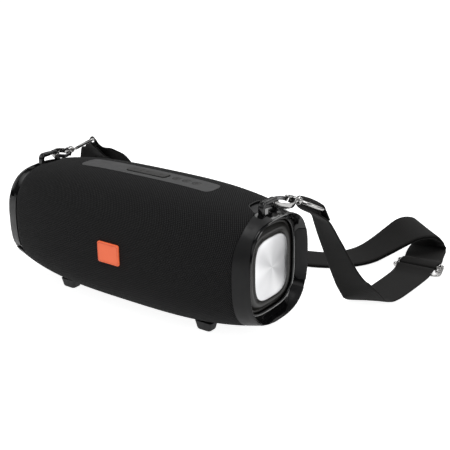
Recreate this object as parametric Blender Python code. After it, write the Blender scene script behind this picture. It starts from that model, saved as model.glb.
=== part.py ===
"""Portable barrel speaker with a clip-on shoulder strap, built as separate solids.

Frame: origin on the floor under the middle of the barrel, X along the barrel,
-Y towards the front face, +Z up.  All lengths are metres.
"""
import math

import bmesh
import bpy
from mathutils import Matrix, Vector

# Barrel envelope.
AXIS_Z = 0.0618
HALF_DEPTH = 0.0566
HALF_HEIGHT = 0.0600
SQUARENESS = 2.636
TAPER = 0.2183
TAPER_REACH = 0.1411
TAPER_POWER = 3.127
SEAM_X = 0.1245
RIM_X = 0.1425
RING_COUNT = 28

# Radial build-up, measured inwards from the envelope.
CLOTH = 0.0010
GRILLE_OUT = 0.0014
GRILLE_IN = 0.0030
SHELL_OUT = 0.0070
SHELL_IN = 0.0095

# Ends.
WALL_DROP = 0.0021
WALL_THICK = 0.0024
BUMPER_GAP = 0.0017
BUMPER_END = 0.1385
OPENING_SCALE = 0.640
PLATE_Y = 0.0243
PLATE_Z = 0.0274
PLATE_X = 0.1336
PLATE_TRAVEL = 0.003
RADIATOR_SURROUND_OUT = 0.0300

# Controls.
PANEL_HALF_X = 0.0760
PANEL_HALF_Y = 0.0108
PAD_HALF_X = 0.0228
PAD_HALF_Y = 0.0047
KEY_TRAVEL = 0.0006
SIDE_KEY_X = (0.0330, 0.0440, 0.0550)

# Drivers.
DRIVER_X = 0.0640
DRIVER_Z = 0.0600
DRIVER_R = 0.0260
BAFFLE_Y = -0.0430

# Feet.
FOOT_X = 0.0820
FOOT_Y = 0.0252
FOOT_HALF_X = 0.0170
FOOT_HALF_Y = 0.0047
FOOT_TOP = 0.0052

# Clasp and strap.
LUG_X = 0.1290
LUG_HALF_X = 0.0030
LUG_LEG_IN = 0.0095
LUG_LEG_OUT = 0.0150
LUG_TOP = 0.1228
LUG_UNDER = 0.1193
HINGE_Y = 0.01225
HINGE_Z = 0.1158
WIRE_R = 0.0019
RING_WIRE_R = 0.0018
STRAP_HALF = 0.0190
STRAP_THICK = 0.0016
STRAP_COLUMNS = 5
STRAP_STEPS = 3
SLIDER_X = 0.1752
SLIDER_Y = 0.2020
SLIDER_HALF_X = 0.0222
SLIDER_HALF_Y = 0.0095
ORIGIN_X = 0.02638
ORIGIN_Y = 0.10149
BAR_HALF = 0.0215

RIGHT_BALL = (0.1353, 0.0424, 0.1097)
RIGHT_BAR = (0.1366, 0.0620, 0.0998)
RIGHT_WIDTH = (0.945, -0.335, 0.0)
LEFT_BALL = (-0.1381, 0.0419, 0.1125)
LEFT_BAR = (-0.1232, 0.0570, 0.1214)
LEFT_WIDTH = (-0.580, 0.770, -0.240)


def clear_scene():
    for item in list(bpy.data.objects):
        bpy.data.objects.remove(item, do_unlink=True)


def material(name, colour, roughness, metallic=0.0):
    found = bpy.data.materials.get(name)
    if found is not None:
        return found
    made = bpy.data.materials.new(name)
    made.use_nodes = True
    shader = made.node_tree.nodes["Principled BSDF"]
    shader.inputs["Base Color"].default_value = (*colour, 1.0)
    shader.inputs["Roughness"].default_value = roughness
    shader.inputs["Metallic"].default_value = metallic
    made.diffuse_color = (*colour, 1.0)
    return made


def cloth():
    return material("knit_cloth", (0.022, 0.022, 0.024), 0.90)


def satin():
    return material("satin_plastic", (0.040, 0.040, 0.043), 0.48)


def gloss():
    return material("gloss_plastic", (0.006, 0.006, 0.007), 0.12)


def soft_rubber():
    return material("panel_rubber", (0.062, 0.062, 0.064), 0.62)


def brown_rubber():
    return material("surround_rubber", (0.020, 0.019, 0.016), 0.45)


def inner_plastic():
    return material("inner_plastic", (0.020, 0.020, 0.021), 0.60)


def bright_metal():
    return material("bright_metal", (0.80, 0.80, 0.80), 0.22, 1.0)


def chrome():
    return material("chrome", (0.78, 0.77, 0.76), 0.12, 1.0)


def steel():
    return material("steel", (0.40, 0.40, 0.41), 0.35, 1.0)


def webbing():
    return material("webbing", (0.013, 0.012, 0.011), 0.85)


def orange():
    return material("badge_orange", (0.86, 0.15, 0.06), 0.35)


def paper():
    return material("cone_paper", (0.030, 0.030, 0.032), 0.75)


def board_green():
    return material("board_green", (0.020, 0.110, 0.050), 0.50)


def battery_wrap():
    return material("battery_wrap", (0.050, 0.110, 0.270), 0.45)


def add(name, verts, faces, mat):
    """Link a mesh object whose faces are turned outwards."""
    mesh = bpy.data.meshes.new(name)
    mesh.from_pydata([tuple(v) for v in verts], [], faces)
    bm = bmesh.new()
    bm.from_mesh(mesh)
    bmesh.ops.recalc_face_normals(bm, faces=bm.faces)
    bm.to_mesh(mesh)
    bm.free()
    mesh.update()
    mesh.materials.append(mat)
    item = bpy.data.objects.new(name, mesh)
    bpy.context.scene.collection.objects.link(item)
    return item


def taper(x):
    return 1.0 - TAPER * (abs(x) / TAPER_REACH) ** TAPER_POWER


def super_point(x, ry, rz, turn, power=SQUARENESS):
    c = math.cos(turn)
    s = math.sin(turn)
    y = ry * math.copysign(abs(c) ** (2.0 / power), c)
    z = rz * math.copysign(abs(s) ** (2.0 / power), s)
    return Vector((x, y, AXIS_Z + z))


def section(x, inset=0.0, scale=None, count=RING_COUNT, power=SQUARENESS):
    k = taper(x) if scale is None else scale
    ry = HALF_DEPTH * k - inset
    rz = HALF_HEIGHT * k - inset
    return [super_point(x, ry, rz, math.tau * i / count, power) for i in range(count)]


def top_height(x, y, inset=0.0):
    k = taper(x)
    ry = HALF_DEPTH * k - inset
    rz = HALF_HEIGHT * k - inset
    rest = max(0.0, 1.0 - (abs(y) / ry) ** SQUARENESS)
    return AXIS_Z + rz * rest ** (1.0 / SQUARENESS)


def front_depth(x, z, inset=0.0):
    k = taper(x)
    ry = HALF_DEPTH * k - inset
    rz = HALF_HEIGHT * k - inset
    rest = max(0.0, 1.0 - (abs(z - AXIS_Z) / rz) ** SQUARENESS)
    return -ry * rest ** (1.0 / SQUARENESS)


def bridge(rings, closed_around=True, closed_along=False, caps=True):
    """Skin a list of equal-length rings with quads."""
    n = len(rings[0])
    verts = [p for ring in rings for p in ring]
    faces = []
    last = len(rings) if closed_along else len(rings) - 1
    around = n if closed_around else n - 1
    for a in range(last):
        b = (a + 1) % len(rings)
        for i in range(around):
            j = (i + 1) % n
            faces.append((a * n + i, a * n + j, b * n + j, b * n + i))
    if caps and not closed_along:
        faces.append(tuple(range(n)))
        faces.append(tuple((len(rings) - 1) * n + i for i in range(n)))
    return verts, faces


def loft(name, rings, mat):
    verts, faces = bridge(rings)
    return add(name, verts, faces, mat)


def hoop(name, rings, mat):
    """A closed band: the last ring joins the first, leaving the middle open."""
    verts, faces = bridge(rings, closed_along=True)
    return add(name, verts, faces, mat)


def spread(low, high, count):
    return [low + (high - low) * i / (count - 1) for i in range(count)]


def grid_slab(name, upper, lower, mat):
    """A closed slab between two grids of points of the same size."""
    rows = len(upper)
    cols = len(upper[0])
    verts = [p for row in upper for p in row] + [p for row in lower for p in row]
    shift = rows * cols
    faces = []
    for r in range(rows - 1):
        for c in range(cols - 1):
            a = r * cols + c
            quad = (a, a + 1, a + cols + 1, a + cols)
            faces.append(quad)
            faces.append(tuple(shift + q for q in reversed(quad)))
    edge = [c for c in range(cols)]
    edge += [r * cols + cols - 1 for r in range(1, rows)]
    edge += [(rows - 1) * cols + c for c in range(cols - 2, -1, -1)]
    edge += [r * cols for r in range(rows - 2, 0, -1)]
    for i, a in enumerate(edge):
        b = edge[(i + 1) % len(edge)]
        faces.append((a, b, shift + b, shift + a))
    return add(name, verts, faces, mat)


def wall_patch(name, xs, turns, outer, inner, mat, side=1.0):
    """A slab that follows the envelope between two insets."""
    def point(x, turn, inset):
        k = taper(x)
        spot = super_point(x, HALF_DEPTH * k - inset, HALF_HEIGHT * k - inset, turn)
        return Vector((side * spot.x, side * spot.y, spot.z))

    upper = [[point(x, t, outer(x)) for t in turns] for x in xs]
    lower = [[point(x, t, inner(x)) for t in turns] for x in xs]
    return grid_slab(name, upper, lower, mat)


def box(name, low, high, mat):
    verts = [(x, y, z) for x in (low[0], high[0]) for y in (low[1], high[1]) for z in (low[2], high[2])]
    faces = [(0, 1, 3, 2), (4, 6, 7, 5), (0, 4, 5, 1), (2, 3, 7, 6), (0, 2, 6, 4), (1, 5, 7, 3)]
    return add(name, verts, faces, mat)


def basis(direction):
    w = Vector(direction).normalized()
    helper = Vector((0, 0, 1)) if abs(w.z) < 0.9 else Vector((1, 0, 0))
    u = helper.cross(w).normalized()
    return u, w.cross(u), w


def disc_stack(name, base, direction, profile, mat, count=24):
    """Stacked circles (distance along, radius) capped at both ends."""
    u, v, w = basis(direction)
    rings = []
    for along, radius in profile:
        centre = Vector(base) + w * along
        turns = [math.tau * i / count for i in range(count)]
        rings.append([centre + (u * math.cos(t) + v * math.sin(t)) * radius for t in turns])
    return loft(name, rings, mat)


def disc_hoop(name, base, direction, profile, mat, count=24):
    """A body of revolution whose closed profile stays clear of the axis."""
    u, v, w = basis(direction)
    rings = []
    for along, radius in profile:
        centre = Vector(base) + w * along
        turns = [math.tau * i / count for i in range(count)]
        rings.append([centre + (u * math.cos(t) + v * math.sin(t)) * radius for t in turns])
    return hoop(name, rings, mat)


def tube_rings(path, radius, normal, count=8, closed=False):
    """Round rings along a path that lies in the plane with the given normal."""
    rings = []
    n = len(path)
    flat = Vector(normal).normalized()
    for i, here in enumerate(path):
        before = path[(i - 1) % n] if closed or i > 0 else here
        after = path[(i + 1) % n] if closed or i < n - 1 else here
        ahead = (Vector(after) - Vector(before)).normalized()
        side = ahead.cross(flat).normalized()
        turns = [math.tau * (j + 0.5) / count for j in range(count)]
        rings.append([Vector(here) + (side * math.cos(t) + flat * math.sin(t)) * radius for t in turns])
    return rings


def cut(target, cutter, operation="DIFFERENCE"):
    cutter.hide_render = True
    cutter.display_type = "WIRE"
    step = target.modifiers.new("cut", "BOOLEAN")
    step.operation = operation
    step.solver = "EXACT"
    step.object = cutter


def rounded_outline(half_x, half_y, corner, steps=3):
    """Corner-rounded rectangle as (x, y) pairs."""
    points = []
    for quarter in range(4):
        sx = (1, -1, -1, 1)[quarter]
        sy = (1, 1, -1, -1)[quarter]
        for i in range(steps + 1):
            turn = math.pi / 2 * (quarter + i / steps)
            points.append((sx * (half_x - corner) + corner * math.cos(turn),
                           sy * (half_y - corner) + corner * math.sin(turn)))
    return points


def rounded_prism(name, centre, half_x, half_y, corner, low, high, mat, steps=3):
    pairs = rounded_outline(half_x, half_y, corner, steps)
    rings = [[Vector((centre[0] + x, centre[1] + y, z)) for x, y in pairs] for z in (low, high)]
    return loft(name, rings, mat)


def cutter_prism(name, centre, half_x, half_y, corner, low, high):
    return rounded_prism(name, centre, half_x, half_y, corner, low, high, inner_plastic())


def port_cutter(name, half_x, half_z, grow):
    """Box through the rear wall behind the port door."""
    return box(name, (-half_x - grow, 0.030, AXIS_Z - half_z - grow),
               (half_x + grow, 0.070, AXIS_Z + half_z + grow), inner_plastic())


# ---------------------------------------------------------------- barrel

def barrel_tube(name, outer, inner, end, mat):
    xs = spread(-end, end, 9)
    rings = [section(x, outer) for x in xs] + [section(x, inner) for x in reversed(xs)]
    return hoop(name, rings, mat)


def make_barrel():
    panel_slot = cutter_prism("cut_panel", (0, 0), PANEL_HALF_X + 0.0003, PANEL_HALF_Y + 0.0003,
                              0.0060, 0.112, 0.130)
    grille_slot = cutter_prism("cut_grille", (0, 0), PANEL_HALF_X + 0.0003, PANEL_HALF_Y + 0.0003,
                               0.0060, 0.110, 0.130)
    rear_slot = port_cutter("cut_port", 0.0330, 0.0115, 0.0003)
    sleeve = barrel_tube("fabric_sleeve", 0.0, CLOTH, SEAM_X - 0.0003, cloth())
    cage = barrel_tube("grille_cage", GRILLE_OUT, GRILLE_IN, SEAM_X - 0.0003, inner_plastic())
    cut(sleeve, panel_slot)
    cut(cage, grille_slot)
    cut(sleeve, rear_slot)
    cut(cage, rear_slot)
    for side, tag in ((-1, "left"), (1, "right")):
        for row in range(3):
            low = 0.0330 + 0.0195 * row
            window = box("cut_window_%s_%d" % (tag, row), (side * DRIVER_X - 0.024, -0.070, low),
                         (side * DRIVER_X + 0.024, -0.030, low + 0.015), inner_plastic())
            cut(cage, window)
    for foot in foot_centres():
        hole = cutter_prism("cut_foot_%d_%d" % (foot[0] > 0, foot[1] > 0), foot[:2],
                            FOOT_HALF_X + 0.0003, FOOT_HALF_Y + 0.0003, 0.002, -0.005, 0.020)
        cut(sleeve, hole)
        cut(cage, hole)


def half_shell(name, turns, mat):
    xs = spread(-0.1215, 0.1215, 7)
    return wall_patch(name, xs, turns, lambda x: SHELL_OUT, lambda x: SHELL_IN, mat)


def make_enclosure():
    gap = 0.0052
    front_turns = spread(math.pi / 2 + gap, 3 * math.pi / 2 - gap, 13)
    rear_turns = spread(-math.pi / 2 + gap, math.pi / 2 - gap, 13)
    front = half_shell("enclosure_front_shell", front_turns, inner_plastic())
    rear = half_shell("enclosure_rear_shell", rear_turns, inner_plastic())
    for side, tag in ((-1, "left"), (1, "right")):
        hole = disc_stack("cut_driver_%s" % tag, (side * DRIVER_X, -0.070, DRIVER_Z), (0, 1, 0),
                          [(0.0, DRIVER_R + 0.0022), (0.045, DRIVER_R + 0.0022)], inner_plastic(), 20)
        cut(front, hole)
    cut(rear, port_cutter("cut_port_shell", 0.0290, 0.0080, 0.0))
    slot = box("cut_harness", (-0.012, -0.010, 0.100), (0.012, 0.010, 0.120), inner_plastic())
    cut(front, slot)
    cut(rear, slot)


def foot_centres():
    return [(sx * FOOT_X, sy * FOOT_Y, 0.0) for sx in (-1, 1) for sy in (-1, 1)]


def make_feet():
    for x, y, _ in foot_centres():
        name = "%s_%s_foot" % ("right" if x > 0 else "left", "rear" if y > 0 else "front")
        rings = []
        for z, grow in ((0.0, -0.0022), (0.0006, -0.0016), (FOOT_TOP, 0.0)):
            pairs = rounded_outline(FOOT_HALF_X + grow, FOOT_HALF_Y + grow * 0.45, 0.0022, 2)
            rings.append([Vector((x + a, y + b, z)) for a, b in pairs])
        loft(name, rings, satin())


# ---------------------------------------------------------------- ends

def end_outline():
    """Stations (x, y radius, z radius) of one end moulding, walked in order."""
    seam = SEAM_X + 0.0001
    k_seam = taper(seam)
    k_rim = 0.775
    hole = OPENING_SCALE
    drop = WALL_DROP
    thick = WALL_THICK
    mid = 0.5 * (seam + RIM_X)
    k_mid = taper(mid)
    rows = []
    rows.append((seam, HALF_DEPTH * k_seam - drop, HALF_HEIGHT * k_seam - drop))
    rows.append((mid, HALF_DEPTH * k_mid - drop, HALF_HEIGHT * k_mid - drop))
    k_lip = taper(BUMPER_END)
    rows.append((BUMPER_END + 0.0003, HALF_DEPTH * k_lip - drop, HALF_HEIGHT * k_lip - drop))
    rows.append((BUMPER_END + 0.0006, HALF_DEPTH * k_lip - 0.0004, HALF_HEIGHT * k_lip - 0.0004))
    rows.append((RIM_X - 0.0012, HALF_DEPTH * k_rim - 0.0004, HALF_HEIGHT * k_rim - 0.0004))
    rows.append((RIM_X, HALF_DEPTH * k_rim - 0.0022, HALF_HEIGHT * k_rim - 0.0022))
    rows.append((RIM_X - 0.0012, HALF_DEPTH * k_rim - 0.0038, HALF_HEIGHT * k_rim - 0.0038))
    rows.append((0.1300, HALF_DEPTH * hole, HALF_HEIGHT * hole))
    rows.append((0.1276, HALF_DEPTH * hole, HALF_HEIGHT * hole))
    rows.append((0.1276, HALF_DEPTH * hole + 0.0035, HALF_HEIGHT * hole + 0.0035))
    rows.append((RIM_X - 0.0060, HALF_DEPTH * k_rim - 0.0026, HALF_HEIGHT * k_rim - 0.0026))
    rows.append((seam, HALF_DEPTH * k_seam - drop - thick, HALF_HEIGHT * k_seam - drop - thick))
    return rows


def side_ring(x, ry, rz, side, count=RING_COUNT, power=SQUARENESS):
    turns = [math.tau * i / count for i in range(count)]
    spots = [super_point(x, ry, rz, t, power) for t in turns]
    return [Vector((side * p.x, side * p.y, p.z)) for p in spots]


def make_end(side, tag):
    hoop("%s_end_frame" % tag, [side_ring(x, ry, rz, side) for x, ry, rz in end_outline()], gloss())
    inner = lambda x: BUMPER_GAP
    outer = lambda x: 0.0 if x < RIM_X - 0.003 else 0.0004
    xs = [SEAM_X + 0.0003, 0.5 * (SEAM_X + 0.0001 + RIM_X), BUMPER_END]
    wide = wall_patch("%s_%s_bumper" % (tag, "front" if side > 0 else "rear"), xs,
                      spread(math.radians(66), math.radians(258), 21), outer, inner, satin(), side)
    recess = box("cut_recess_%s" % tag, (LUG_X - 0.0060, -0.0160, 0.1000),
                 (LUG_X + 0.0045, 0.0160, 0.1300), satin())
    if side < 0:
        for vert in recess.data.vertices:
            vert.co.x = -vert.co.x
        recess.data.flip_normals()
    cut(wide, recess)
    wall_patch("%s_%s_bumper" % (tag, "rear" if side > 0 else "front"), xs,
               spread(math.radians(-24), math.radians(24), 7), outer, inner, satin(), side)


def make_lug(side, tag):
    """Arch over the recess: an outline in YZ pushed along X."""
    corner = 0.0022
    foot = 0.1110
    outline = [(-LUG_LEG_OUT, foot), (-LUG_LEG_OUT, LUG_TOP - corner), (-LUG_LEG_OUT + corner, LUG_TOP),
               (LUG_LEG_OUT - corner, LUG_TOP), (LUG_LEG_OUT, LUG_TOP - corner), (LUG_LEG_OUT, foot),
               (LUG_LEG_IN, foot), (LUG_LEG_IN, LUG_UNDER), (-LUG_LEG_IN, LUG_UNDER), (-LUG_LEG_IN, foot)]
    low = side * LUG_X - LUG_HALF_X
    high = side * LUG_X + LUG_HALF_X
    verts = [(x, y, z) for x in (low, high) for y, z in outline]
    n = len(outline)
    faces = [(i, (i + 1) % n, n + (i + 1) % n, n + i) for i in range(n)]
    for quad in ((0, 1, 8, 9), (1, 2, 3, 4), (1, 4, 7, 8), (4, 5, 6, 7)):
        faces.append(quad)
        faces.append(tuple(n + q for q in reversed(quad)))
    add("%s_lug_bar" % tag, verts, faces, satin())


def make_radiator(side, tag):
    ry = HALF_DEPTH * OPENING_SCALE
    rz = HALF_HEIGHT * OPENING_SCALE
    rows = [(0.1300, ry - 0.0003), (0.1325, ry - 0.0030), (0.1340, PLATE_Y + 0.0030),
            (0.1336, PLATE_Y + 0.0005), (0.1324, PLATE_Y + 0.0005), (0.1308, ry - 0.0030),
            (0.1288, ry - 0.0003)]
    spare = rz - ry
    rings = [side_ring(x, r, r + (PLATE_Z - PLATE_Y) + (spare - (PLATE_Z - PLATE_Y)) *
                       (r - PLATE_Y) / (ry - PLATE_Y), side) for x, r in rows]
    hoop("%s_radiator_surround" % tag, rings, brown_rubber())
    rings = []
    for x, r in ((PLATE_X - 0.0016, 0.0), (PLATE_X, 0.0)):
        rings.append(side_ring(x, PLATE_Y + r, PLATE_Z + r, side))
    loft("%s_radiator_plate" % tag, rings, bright_metal())


# ---------------------------------------------------------------- drivers

def make_driver(side, tag):
    base = (side * DRIVER_X, BAFFLE_Y, DRIVER_Z)
    axis = (0, 1, 0)
    disc_hoop("%s_driver_basket" % tag, base, axis,
              [(-0.0030, DRIVER_R + 0.0015), (-0.0030, DRIVER_R - 0.0010), (0.0040, DRIVER_R - 0.0030),
               (0.0170, 0.0155), (0.0170, 0.0110), (0.0190, 0.0110), (0.0190, 0.0175),
               (0.0050, DRIVER_R - 0.0012), (-0.0010, DRIVER_R + 0.0015)], steel(), 20)
    disc_hoop("%s_driver_magnet" % tag, base, axis,
              [(0.0194, 0.0190), (0.0194, 0.0100), (0.0330, 0.0100), (0.0330, 0.0190)], steel(), 20)
    disc_hoop("%s_driver_surround" % tag, base, axis,
              [(-0.0034, DRIVER_R - 0.0012), (-0.0050, DRIVER_R - 0.0035), (-0.0034, DRIVER_R - 0.0060),
               (-0.0044, DRIVER_R - 0.0060), (-0.0062, DRIVER_R - 0.0035), (-0.0044, DRIVER_R - 0.0010)],
              brown_rubber(), 20)
    disc_stack("%s_driver_cone" % tag, base, axis,
               [(-0.0042, DRIVER_R - 0.0064), (-0.0030, DRIVER_R - 0.0066), (0.0060, 0.0095),
                (0.0240, 0.0092), (0.0240, 0.0080), (0.0000, 0.0080), (-0.0020, 0.0060)], paper(), 20)


# ---------------------------------------------------------------- insides

def make_insides():
    box("battery_pack", (-0.0350, -0.0190, 0.0170), (0.0350, 0.0190, 0.0370), battery_wrap())
    box("main_circuit_board", (-0.0330, 0.0200, 0.0450), (0.0330, 0.0216, 0.0980), board_green())
    box("button_board", (-0.0600, -0.0080, 0.1010), (0.0600, 0.0080, 0.1022), board_green())


# ---------------------------------------------------------------- controls

def surface_plate(name, half_x, half_y, corner, low_inset, high_inset, mat, columns=13):
    """Rounded plate that follows the top of the barrel between two insets."""
    rings_top = []
    rings_low = []
    for x in spread(-half_x, half_x, columns):
        edge = half_x - abs(x)
        pull = 0.0
        if edge < corner:
            pull = corner - math.sqrt(max(0.0, corner ** 2 - (corner - edge) ** 2))
        ys = spread(-half_y + pull, half_y - pull, 5)
        rings_top.append([Vector((x, y, top_height(x, y, high_inset))) for y in ys])
        rings_low.append([Vector((x, y, top_height(x, y, low_inset))) for y in ys])
    return grid_slab(name, rings_top, rings_low, mat)


def make_panel():
    panel = surface_plate("control_panel", PANEL_HALF_X, PANEL_HALF_Y, 0.0055, 0.0050, -0.0002,
                          soft_rubber(), 17)
    cut(panel, cutter_prism("cut_pad", (0, 0), PAD_HALF_X + 0.0008, PAD_HALF_Y + 0.0008, 0.0040,
                            0.1100, 0.1300))
    for x in SIDE_KEY_X:
        cut(panel, cutter_prism("cut_key_%d" % round(x * 1e4), (x, 0), 0.0043, 0.0035, 0.0033,
                                0.1000, 0.1300))
    third = 2 * PAD_HALF_X / 3
    for i, name in enumerate(("volume_down_key", "play_key", "volume_up_key")):
        low = -PAD_HALF_X + third * i + 0.0002
        high = low + third - 0.0004
        rounded_prism(name, (0.5 * (low + high), 0), 0.5 * (high - low), PAD_HALF_Y, 0.0018,
                      0.1172, 0.1226, soft_rubber(), 2)
    for x, name in zip(SIDE_KEY_X, ("pairing_key", "link_key", "power_key")):
        z = top_height(x, 0.0) - 0.0006
        rounded_prism(name, (x, 0), 0.0040, 0.0032, 0.0030, z - 0.0046, z + 0.0006, soft_rubber(), 2)


def make_badge():
    half_x = 0.01215
    half_z = 0.0096
    outer = []
    inner = []
    for x in spread(-half_x, half_x, 7):
        edge = half_x - abs(x)
        pull = 0.0012 if edge < 0.0001 else 0.0
        zs = spread(AXIS_Z + 0.001 - half_z + pull, AXIS_Z + 0.001 + half_z - pull, 5)
        outer.append([Vector((x, front_depth(x, z, -0.0018), z)) for z in zs])
        inner.append([Vector((x, front_depth(x, z, -0.0003), z)) for z in zs])
    grid_slab("front_badge", outer, inner, orange())


# ---------------------------------------------------------------- ports

def make_ports():
    panel = box("port_panel", (-0.0300, 0.0415, AXIS_Z - 0.0090), (0.0300, 0.0463, AXIS_Z + 0.0090),
                inner_plastic())
    hole = box("cut_charge", (-0.0170 - 0.0048, 0.040, AXIS_Z - 0.0020),
               (-0.0170 + 0.0048, 0.055, AXIS_Z + 0.0020), inner_plastic())
    cut(panel, hole)
    bore = disc_stack("cut_audio", (0.0120, 0.040, AXIS_Z), (0, 1, 0), [(0.0, 0.0034), (0.015, 0.0034)],
                      inner_plastic(), 16)
    cut(panel, bore)
    charge = box("charging_socket", (-0.0170 - 0.0045, 0.0375, AXIS_Z - 0.0017),
                 (-0.0170 + 0.0045, 0.0461, AXIS_Z + 0.0017), steel())
    cut(charge, box("cut_charge_mouth", (-0.0170 - 0.0041, 0.0405, AXIS_Z - 0.0013),
                    (-0.0170 + 0.0041, 0.0500, AXIS_Z + 0.0013), steel()))
    disc_stack("audio_socket", (0.0120, 0.0375, AXIS_Z), (0, 1, 0),
               [(0.0, 0.0031), (0.0085, 0.0031), (0.0085, 0.0018), (0.0030, 0.0018)], steel(), 16)
    upper = []
    lower = []
    for x in spread(-0.0328, 0.0328, 9):
        zs = spread(AXIS_Z - 0.0113, AXIS_Z + 0.0113, 5)
        upper.append([Vector((x, -front_depth(x, z, -0.0004), z)) for z in zs])
        lower.append([Vector((x, -front_depth(x, z, 0.0022), z)) for z in zs])
    grid_slab("port_cover", upper, lower, soft_rubber())


# ---------------------------------------------------------------- clasps

def make_hook(side, tag, ball):
    hinge = Vector((side * LUG_X, HINGE_Y, HINGE_Z))
    ball = Vector(ball)
    along = (ball - hinge).normalized()
    across = along.cross(Vector((0, 0, 1))).normalized()
    up = across.cross(along).normalized()

    def at(t, s, h=0.0):
        return hinge + along * t + across * s + up * h

    half = 0.0066
    path = []
    for i in range(9):
        turn = math.radians(-30 + 210 * i / 8)
        path.append(at(-0.0002 - math.sin(turn) * half * 0.85, math.cos(turn) * half * side * -1.0))
    path.append(at(0.0080, half * side))
    path.append(at(0.0130, half * side))
    path.append(at(0.0172, 0.0040 * side))
    path.append(at(0.0185, 0.0))
    hook_rings = tube_rings(path, WIRE_R, up, 8)
    length = (ball - hinge).length
    reach = length - 0.0052
    profile = ((0.0205, 0.0036), (0.0225, 0.0040), (reach - 0.0022, 0.0030), (reach - 0.0006, 0.0018),
               (reach + 0.0006, 0.0030), (reach + 0.0022, 0.0030), (reach + 0.0030, 0.0014))
    for t, radius in profile:
        turns = [math.tau * (j + 0.5) / 8 for j in range(8)]
        hook_rings.append([at(t, 0) + (across * math.cos(a) + up * math.sin(a)) * radius for a in turns])
    loft("%s_hook_body" % tag, hook_rings, chrome())
    gate_start = at(0.0165, -half * side)
    gate_end = at(0.0052, -half * side)
    loft("%s_hook_gate" % tag, tube_rings([gate_start, gate_end], 0.0014, up, 8), chrome())


def make_ring(tag, ball, bar, width):
    ball = Vector(ball)
    bar = Vector(bar)
    w = Vector(width).normalized()
    u = (bar - ball).normalized()
    u = (u - w * u.dot(w)).normalized()
    flat = w.cross(u).normalized()
    path = [bar + w * BAR_HALF, bar, bar - w * BAR_HALF]
    path.append(bar - w * (BAR_HALF + 0.0008) - u * 0.0030)
    for i in range(1, 8):
        turn = math.pi * i / 8
        reach = 0.0050 + 0.0150 * math.sin(turn) ** 0.8
        path.append(bar - w * (BAR_HALF * math.cos(turn)) * 0.98 - u * reach)
    path.append(bar + w * (BAR_HALF + 0.0008) - u * 0.0030)
    hoop("%s_swivel_ring" % tag, tube_rings(path, RING_WIRE_R, flat, 8, closed=True), chrome())
    return bar, w


def strip(name, stations, mat, offset=0.0, half=STRAP_HALF):
    """Flat webbing through (centre, width direction) stations."""
    upper = []
    lower = []
    n = len(stations)
    for i, (centre, width) in enumerate(stations):
        before = Vector(stations[max(0, i - 1)][0])
        after = Vector(stations[min(n - 1, i + 1)][0])
        ahead = (after - before).normalized()
        w = Vector(width)
        w = (w - ahead * w.dot(ahead)).normalized()
        normal = ahead.cross(w).normalized()
        middle = Vector(centre) + normal * offset
        shift = normal * (0.5 * STRAP_THICK)
        across = spread(-half, half, STRAP_COLUMNS)
        upper.append([middle + w * a + shift for a in across])
        lower.append([middle + w * a - shift for a in across])
    return grid_slab(name, upper, lower, mat)


def strap_loop(name, bar, w, outer, inner, lean):
    """Webbing folded over the ring bar, with both ends left short."""
    radius = RING_WIRE_R + 0.0004 + 0.5 * STRAP_THICK
    u = (lean - w * lean.dot(w)).normalized()
    flat = w.cross(u).normalized()
    path = []
    for t in spread(inner, 0.0, 4):
        path.append(bar + flat * radius + u * t)
    for i in range(1, 6):
        turn = math.pi * i / 6
        path.append(bar + flat * radius * math.cos(turn) - u * radius * math.sin(turn))
    for t in spread(0.0, outer, 4):
        path.append(bar - flat * radius + u * t)
    return strip(name, [(p, w) for p in path], webbing())


def smooth(points, steps):
    """Catmull-Rom through (centre, width) stations."""
    result = []
    n = len(points)

    def mix(k, part, t):
        p = [Vector(points[max(0, min(n - 1, k + d))][part]) for d in (-1, 0, 1, 2)]
        return 0.5 * ((2 * p[1]) + (p[2] - p[0]) * t + (2 * p[0] - 5 * p[1] + 4 * p[2] - p[3]) * t ** 2
                      + (3 * p[1] - p[0] - 3 * p[2] + p[3]) * t ** 3)

    for k in range(n - 1):
        for s in range(steps):
            t = s / steps
            result.append((mix(k, 0, t), mix(k, 1, t)))
    result.append((Vector(points[-1][0]), Vector(points[-1][1])))
    return result


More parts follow.
